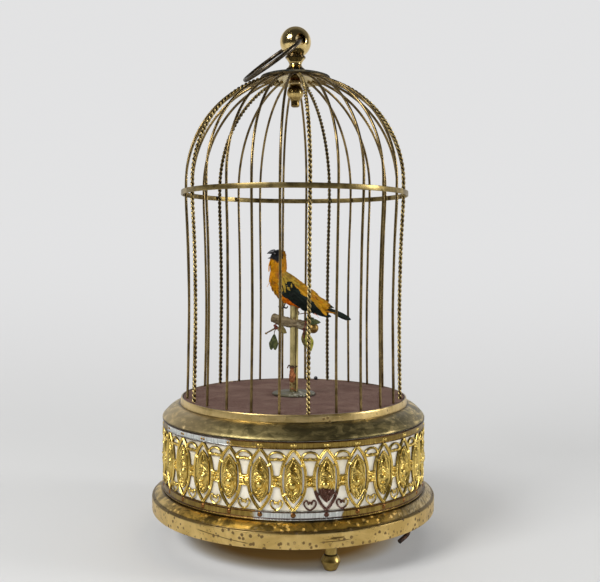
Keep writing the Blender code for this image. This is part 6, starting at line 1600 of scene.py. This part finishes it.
def flat_feather(path, share, side, width):
    """The feather's outline set along its path, with the place of each point on the feather."""
    rows = len(share)
    half = 0.5 * width * mm * np.clip(np.sin(math.pi * (0.10 + 0.87 * share ** 1.3)), 0.02, 1) ** 0.6
    ring = np.array([(0.0, -1.0), (0.10, -0.45), (0.16, 0.0), (0.10, 0.45), (0.0, 1.0), (-0.06, 0.0)])
    outline = ring[None] * half[:, None, None]
    shape = swept(path, outline, (0.0, float(side), 0.0))
    vane = np.stack([np.repeat(share[:, None] * 18, 6, 1), outline[..., 1] / mm, np.zeros((rows, 6))], -1).reshape(-1, 3)
    return shape, np.concatenate([vane, vane[:1], vane[-1:]])


def joined_feathers(name, made, colours, body="cage_and_base", replaces=()):
    """Long feathers as one piece, each in its own tone."""
    shapes, vanes = [m[0] for m in made], [m[1] for m in made]
    tint = np.concatenate([np.broadcast_to(np.asarray(c, float), (len(m[0]), 3)) for c, m in zip(colours, shapes)])
    done = piece(name, together(shapes), plumage_finish.material, body=body, replaces=list(replaces), sharp=70.0)
    return tinted(done, tint, np.concatenate(vanes))


WING_BLACK = np.array([0.0080, 0.0110, 0.0085])
SHOULDER_STREAKS = [((-7.4, 143.2), (-4.9, 133.6)), ((-5.5, 142.6), (-2.5, 134.4)), ((-3.8, 141.8), (-1.1, 136.4)),
                    ((-1.6, 141.0), (1.1, 137.3)), ((0.5, 139.6), (2.7, 136.0)), ((-8.4, 138.9), (-6.7, 133.2))]
for side, word in ((-1, "left"), (1, "right")):
    s = np.linspace(0.0, 1.0, 40)[:, None]
    u = np.linspace(0.0, 1.0, 16)[None, :]
    outer = on_wing(s, u, side, 0.80)
    inner = on_wing(s, u, side, 0.35)[:, ::-1]
    grid = np.concatenate([outer, inner], 1)
    shell_shape = patch(grid if side > 0 else grid[:, ::-1])
    shell = piece(f"wing_{word}", shell_shape, plumage_finish.material, replaces=[f"bird_wing_{word}"], sharp=70.0)
    tinted(shell, np.broadcast_to(WING_BLACK, (len(shell_shape[0]), 3)))
    chance = np.random.default_rng(60 + side)
    long_ones = [flight_feather(side, 0.18 + 0.02 * k, 0.04 + 0.085 * k, 1.0 - 0.030 * k, 0.25 + 0.05 * k, 2.5, 0.85 + 0.035 * k) for k in range(10)]
    tones = [WING_BLACK * chance.uniform(0.8, 1.7) for _ in long_ones]
    joined_feathers(f"flight_feathers_{word}", long_ones, tones)
    s_cover = np.repeat(np.array([0.06, 0.14, 0.22, 0.31, 0.41, 0.52]), 7)
    u_cover = np.tile(np.linspace(0.10, 0.92, 7), 6) + chance.uniform(-0.05, 0.05, 42)
    root = on_wing(s_cover, u_cover, side, 1.05)
    ahead = on_wing(s_cover + 0.05, u_cover, side, 1.05) - root
    ahead /= np.linalg.norm(ahead, axis=1)[:, None]
    outward = np.broadcast_to(np.array([0.0, float(side), 0.0]), root.shape)
    outward = outward - (outward * ahead).sum(1)[:, None] * ahead
    outward /= np.linalg.norm(outward, axis=1)[:, None]
    dress(f"coverts_{word}", "cage_and_base", root, ahead, outward, 4.4, 2.5, 70 + side, 0.05, WING_BLACK * 1.25, "black_feathers", 0.3)
    streaks, streak_tones = [], []
    for root, tip in SHOULDER_STREAKS:
        for k in range(3):
            apart = chance.uniform(-0.7, 0.7, 2)
            streaks.append(shoulder_feather(side, (root[0] + apart[0], root[1]), (tip[0] + apart[1], tip[1] + abs(apart[0])), 1.0, 1.25))
            streak_tones.append(np.array([0.36, 0.235, 0.030]) * chance.uniform(0.6, 1.25))
    for k in range(13):
        start = 0.08 + 0.058 * k
        streaks.append(flight_feather(side, start, 1.10 + 0.02 * math.sin(3 * k), min(start + 0.25, 0.90), 0.93 - 0.012 * k, 1.9 - 0.04 * k, 0.95 + 0.02 * k))
        streak_tones.append(np.array([0.44, 0.215, 0.014]) * chance.uniform(0.7, 1.15))
    for k in range(5):
        streaks.append(flight_feather(side, 0.68 + 0.02 * k, 1.15 - 0.05 * k, 0.86 + 0.012 * k, 0.86 - 0.07 * k, 1.2, 1.25 + 0.03 * k))
        streak_tones.append(np.array([0.54, 0.260, 0.014]) * chance.uniform(0.75, 1.15))
    joined_feathers(f"yellow_streaks_{word}", streaks, streak_tones)

# %% Tail
TAIL_ROOT, TAIL_TIP = np.array([17.2, 0.0, 124.6]), np.array([30.6, 0.0, 118.9])


def tail_feather(from_point, to_point, width, sag=0.0, lean=0.0, rows=16):
    """A long feather between two points in mm; it sags in the middle, and leans like one side of a roof."""
    share = np.linspace(0.0, 1.0, rows)[:, None]
    start, end = np.array(from_point, float), np.array(to_point, float)
    path = (start + (end - start) * share + np.array([0.0, 0.0, 1.0]) * sag * np.sin(math.pi * share)) * mm
    half = 0.5 * width * mm * np.clip(np.sin(math.pi * (0.12 + 0.85 * share[:, 0] ** 1.4)), 0.02, 1) ** 0.6
    ring = np.array([(0.0, -1.0), (0.10, -0.45), (0.16, 0.0), (0.10, 0.45), (0.0, 1.0), (-0.06, 0.0)])
    outline = ring[None] * half[:, None, None]
    vane = np.stack([np.repeat(share * 14, 6, 1), outline[..., 1] / mm, np.zeros((rows, 6))], -1).reshape(-1, 3)
    return swept(path, outline, (0.0, math.sin(lean), math.cos(lean))), np.concatenate([vane, vane[:1], vane[-1:]])


tail_made, tail_tones = [], []
chance = np.random.default_rng(88)
for k, fan in enumerate(np.linspace(-1, 1, 10)):
    end = TAIL_TIP + np.array([0.8 - 2.4 * chance.uniform(0, 1), 2.2 * fan, -0.15 + chance.uniform(-0.5, 0.5)])
    tail_made.append(tail_feather(TAIL_ROOT + [0, 0.9 * fan, 0.4 + 0.12 * (k % 2)], end, 2.7, 0.25, 0.9 * np.sign(fan)))
    tail_tones.append(WING_BLACK * chance.uniform(0.8, 1.8))
for k, fan in enumerate(np.linspace(-1, 1, 6)):
    tail_made.append(tail_feather((14.9, 1.2 * fan, 128.6), (19.8 + 1.1 * k % 2.3, 1.7 * fan, 124.9), 1.3, 0.35, 0.9 * np.sign(fan)))
    tail_tones.append(np.array([0.022, 0.023, 0.012]) * chance.uniform(0.7, 1.3))
for fan in np.linspace(-1, 1, 6):
    tail_made.append(tail_feather((16.6, 1.5 * fan, 123.9), (23.6 - abs(fan), 1.9 * fan, 122.4), 1.8, -0.15, 0.7 * np.sign(fan)))
    tail_tones.append(np.array([0.46, 0.190, 0.012]) * chance.uniform(0.7, 1.15))
joined_feathers("tail_feathers", tail_made, tail_tones, body="tail", replaces=["bird_tail"])

# %% Loose barbs and claws
def barb(points, thickness=0.10, count=10):
    return sprig(points, thickness, count, 5)


loose = together([
    barb([(-13.1, -1.9, 151.0), (-13.9, -2.0, 148.4), (-13.9, -1.9, 145.2)], 0.45),
    barb([(-13.3, -1.2, 149.6), (-14.1, -1.3, 146.8), (-14.0, -1.4, 144.8)], 0.30),
    barb([(-13.0, -1.8, 140.2), (-14.2, -1.9, 138.2), (-14.9, -1.8, 136.2)], 0.09),
    barb([(-13.2, -1.0, 139.0), (-14.5, -1.1, 137.5), (-15.2, -1.0, 136.6)], 0.08),
    barb([(11.0, -4.2, 122.4), (12.6, -4.4, 121.0), (13.6, -4.5, 119.9)], 0.10),
    barb([(9.4, 3.8, 123.0), (10.8, 4.1, 121.4), (12.2, 4.2, 120.8)], 0.10),
])
loose_made = piece("loose_barbs", loose, plumage_finish.material)
tinted(loose_made, plumage(loose[0]) * 0.9)

claw_finish = Finish("black_wire", (0.020, 0.018, 0.016), 0.42, 0.6)
claw_wear = claw_finish.noise(0.0012, 3.0)
claw_finish.give("Base Color", claw_finish.mix(claw_finish.rise(claw_wear, 0.4, 0.65), (0.012, 0.010, 0.009), (0.060, 0.050, 0.036)))
claw_finish.bump(claw_wear, 0.0001, 0.5)
claws = []
for side in (-1, 1):
    y = side * 2.3
    claws.append(sprig([(-4.6, y, 128.3), (-5.4, y * 1.1, 126.4), (-5.6, y * 1.1, 125.4)], 0.42))
    for spread, reach, curl in ((-0.9, -2.2, 0.9), (0.0, -2.6, 1.0), (0.9, -2.0, 0.8), (0.1, 1.8, 0.9)):
        claws.append(sprig([(-5.6, y * 1.1, 125.3), (-5.6 + 0.55 * reach, y * 1.1 + 0.6 * spread, 124.9), (-5.6 + reach, y * 1.1 + spread, 125.0 + 0.2 * curl),
                            (-5.6 + reach * 1.15, y * 1.1 + spread, 126.0)], 0.32))
claws.append(sprig([(2.2, -1.6, 123.2), (2.7, -1.7, 122.2), (2.3, -1.6, 121.2)], 0.36))
piece("bird_claws", together(claws), claw_finish.material)
piece("fallen_bead", berry((13.6, 56.5, velvet_high.z / mm + 0.95), 1.2), horn_finish.material)

# %% [markdown]
# Under the base the start lever shows its tail: a bent wire, blackened, with a little red rust. Its
# bends are rounded like the corners of the turned profiles. The bellows inside the base has a
# leather of thin kid folded in three pleats between its two boards.

# %% Lever and bellows leather
iron = Finish("lever_iron", (0.035, 0.026, 0.020), 0.42, 0.75)
iron_rust = iron.noise(0.0018, 4.0, 0.6)
iron.give("Base Color", iron.mix(iron.rise(iron_rust, 0.42, 0.66), (0.022, 0.016, 0.013), (0.110, 0.050, 0.028)))
iron.give("Roughness", iron.rise(iron_rust, 0.35, 0.65, 0.34, 0.60))
iron.bump(iron_rust, 0.0001, 0.6)
PIVOT, ARM_LEVEL = np.array([44.0, -18.0, 0.0]), 23.7
TAIL = np.array([59.363, -37.094, 0.0])
tail_side = np.array([-0.788, -0.616, 0.0])
toward_tail = (TAIL - PIVOT) / np.linalg.norm(TAIL - PIVOT)
bends = [PIVOT + toward_tail * 2.6 + [0, 0, ARM_LEVEL], TAIL + [0, 0, ARM_LEVEL], TAIL + [0, 0, 11.2],
         TAIL + tail_side * 6.6 + [0, 0, 8.4]]
line = [bends[0][None]]
share = np.linspace(0.0, 1.0, 9)[:, None]
for before, here, after, reach in zip(bends, bends[1:], bends[2:], (2.6, 2.2)):
    a = here + (before - here) / np.linalg.norm(before - here) * reach
    b = here + (after - here) / np.linalg.norm(after - here) * reach
    line.append((1 - share) ** 2 * a + 2 * share * (1 - share) * here + share ** 2 * b)
lever_path = np.concatenate(line + [bends[-1][None]]) * mm
lever_side = np.cross(toward_tail, [0.0, 0.0, 1.0]) + [0.02, 0.0, 0.0]
hub_profile = rounded([(3.4, -1.84, 0.5), (3.4, 1.84, 0.5), (1.45, 1.84, 0.2), (1.45, -1.84, 0.2)]) * mm
hub_points, hub_quads, hub_triangles = turned(hub_profile, 48, True)
hub = (hub_points + (PIVOT + [0, 0, ARM_LEVEL]) * mm, hub_quads, hub_triangles)
piece("bent_lever", together([round_wire(lever_path, 1.15 * mm, lever_side, 16), hub]), iron.material,
      body="start_lever", replaces=["stop_lever"])

leather_low, leather_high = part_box("bellows_leather")
kid = Finish("kid_leather", (0.70, 0.58, 0.42), 0.62, 0.0)
creases = kid.noise(0.0022, 5.0, 0.65, 0.8)
kid.give("Base Color", kid.mix(kid.rise(creases, 0.36, 0.66), (0.50, 0.38, 0.24), (0.74, 0.63, 0.47)))
kid.bump(creases, 0.0003, 0.7)
PLEATS = 3
h = np.linspace(0.0, 1.0, 8 * PLEATS + 1)[:, None]
inset = 0.45 * mm * (1 + np.cos(TURN * PLEATS * h))
t = np.linspace(0.0, TURN, 96, endpoint=False)[None, :]
square = 1 / (np.abs(np.cos(t)) ** 12 + np.abs(np.sin(t)) ** 12) ** (1 / 12)
middle, half = (leather_low + leather_high) / 2, (leather_high - leather_low) / 2
sag = 0.25 * mm * np.sin(6 * t) * np.sin(TURN * PLEATS * h) ** 2
folds = np.stack([middle.x + (half.x - inset - 0.3 * mm + sag) * np.clip(square * np.sin(t), -1, 1),
                  middle.y - (half.y - inset - 0.3 * mm + sag) * np.clip(square * np.cos(t), -1, 1),
                  leather_low.z + 2 * half.z * h + 0 * t], -1)
piece("pleated_leather", patch(folds), kid.material, replaces=["bellows_leather"])

# %% [markdown]
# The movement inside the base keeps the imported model's own solids. They get the same kind of
# finishes as what shows: worked brass with its brushed streaks, cut steel, and planed pale wood.

# %% Movement
inner_brass = aged_brass("movement_brass", (0.78, 0.60, 0.28), (0.56, 0.41, 0.17), 0.2, 0.30, 0.012, 0.4)
cut_steel = Finish("cut_steel", (0.45, 0.44, 0.42), 0.30, 1.0)
grinding = cut_steel.noise(0.0012, 3.0, 0.6, 0.2, cut_steel.moved(scale=(1.0, 0.15, 1.0)))
cut_steel.give("Base Color", cut_steel.mix(cut_steel.rise(grinding, 0.35, 0.65), (0.30, 0.29, 0.28), (0.55, 0.54, 0.52)))
cut_steel.give("Roughness", cut_steel.rise(grinding, 0.3, 0.7, 0.38, 0.24))
cut_steel.bump(grinding, 0.00005, 0.5)
planed = Finish("planed_wood", (0.50, 0.34, 0.20), 0.65, 0.0)
growth = planed.noise(0.0030, 4.0, 0.6, 0.8, planed.moved(scale=(0.08, 1.0, 1.0)))
planed.give("Base Color", planed.mix(planed.rise(growth, 0.35, 0.65), (0.36, 0.22, 0.11), (0.58, 0.41, 0.24)))
planed.bump(growth, 0.00015, 0.6)
refinished = {
    inner_brass.material: ["movement_lower_plate", "movement_upper_plate", "spring_barrel", "barrel_cap", "cam_arbor",
                           "crank_arbor", "governor_fly", "whistle"],
    cut_steel.material: ["bottom_plate", "floor_plate", "mainspring", "winding_arbor", "winding_key", "click",
                         "cam_lever", "push_rod", "whistle_piston"],
    planed.material: ["bellows_base", "bellows_board"],
}
for material, names in refinished.items():
    for name in names:
        for material_slot in nodes[name].material_slots:
            material_slot.material = material
print("refinished:", sum(len(names) for names in refinished.values()), "solids of the movement")
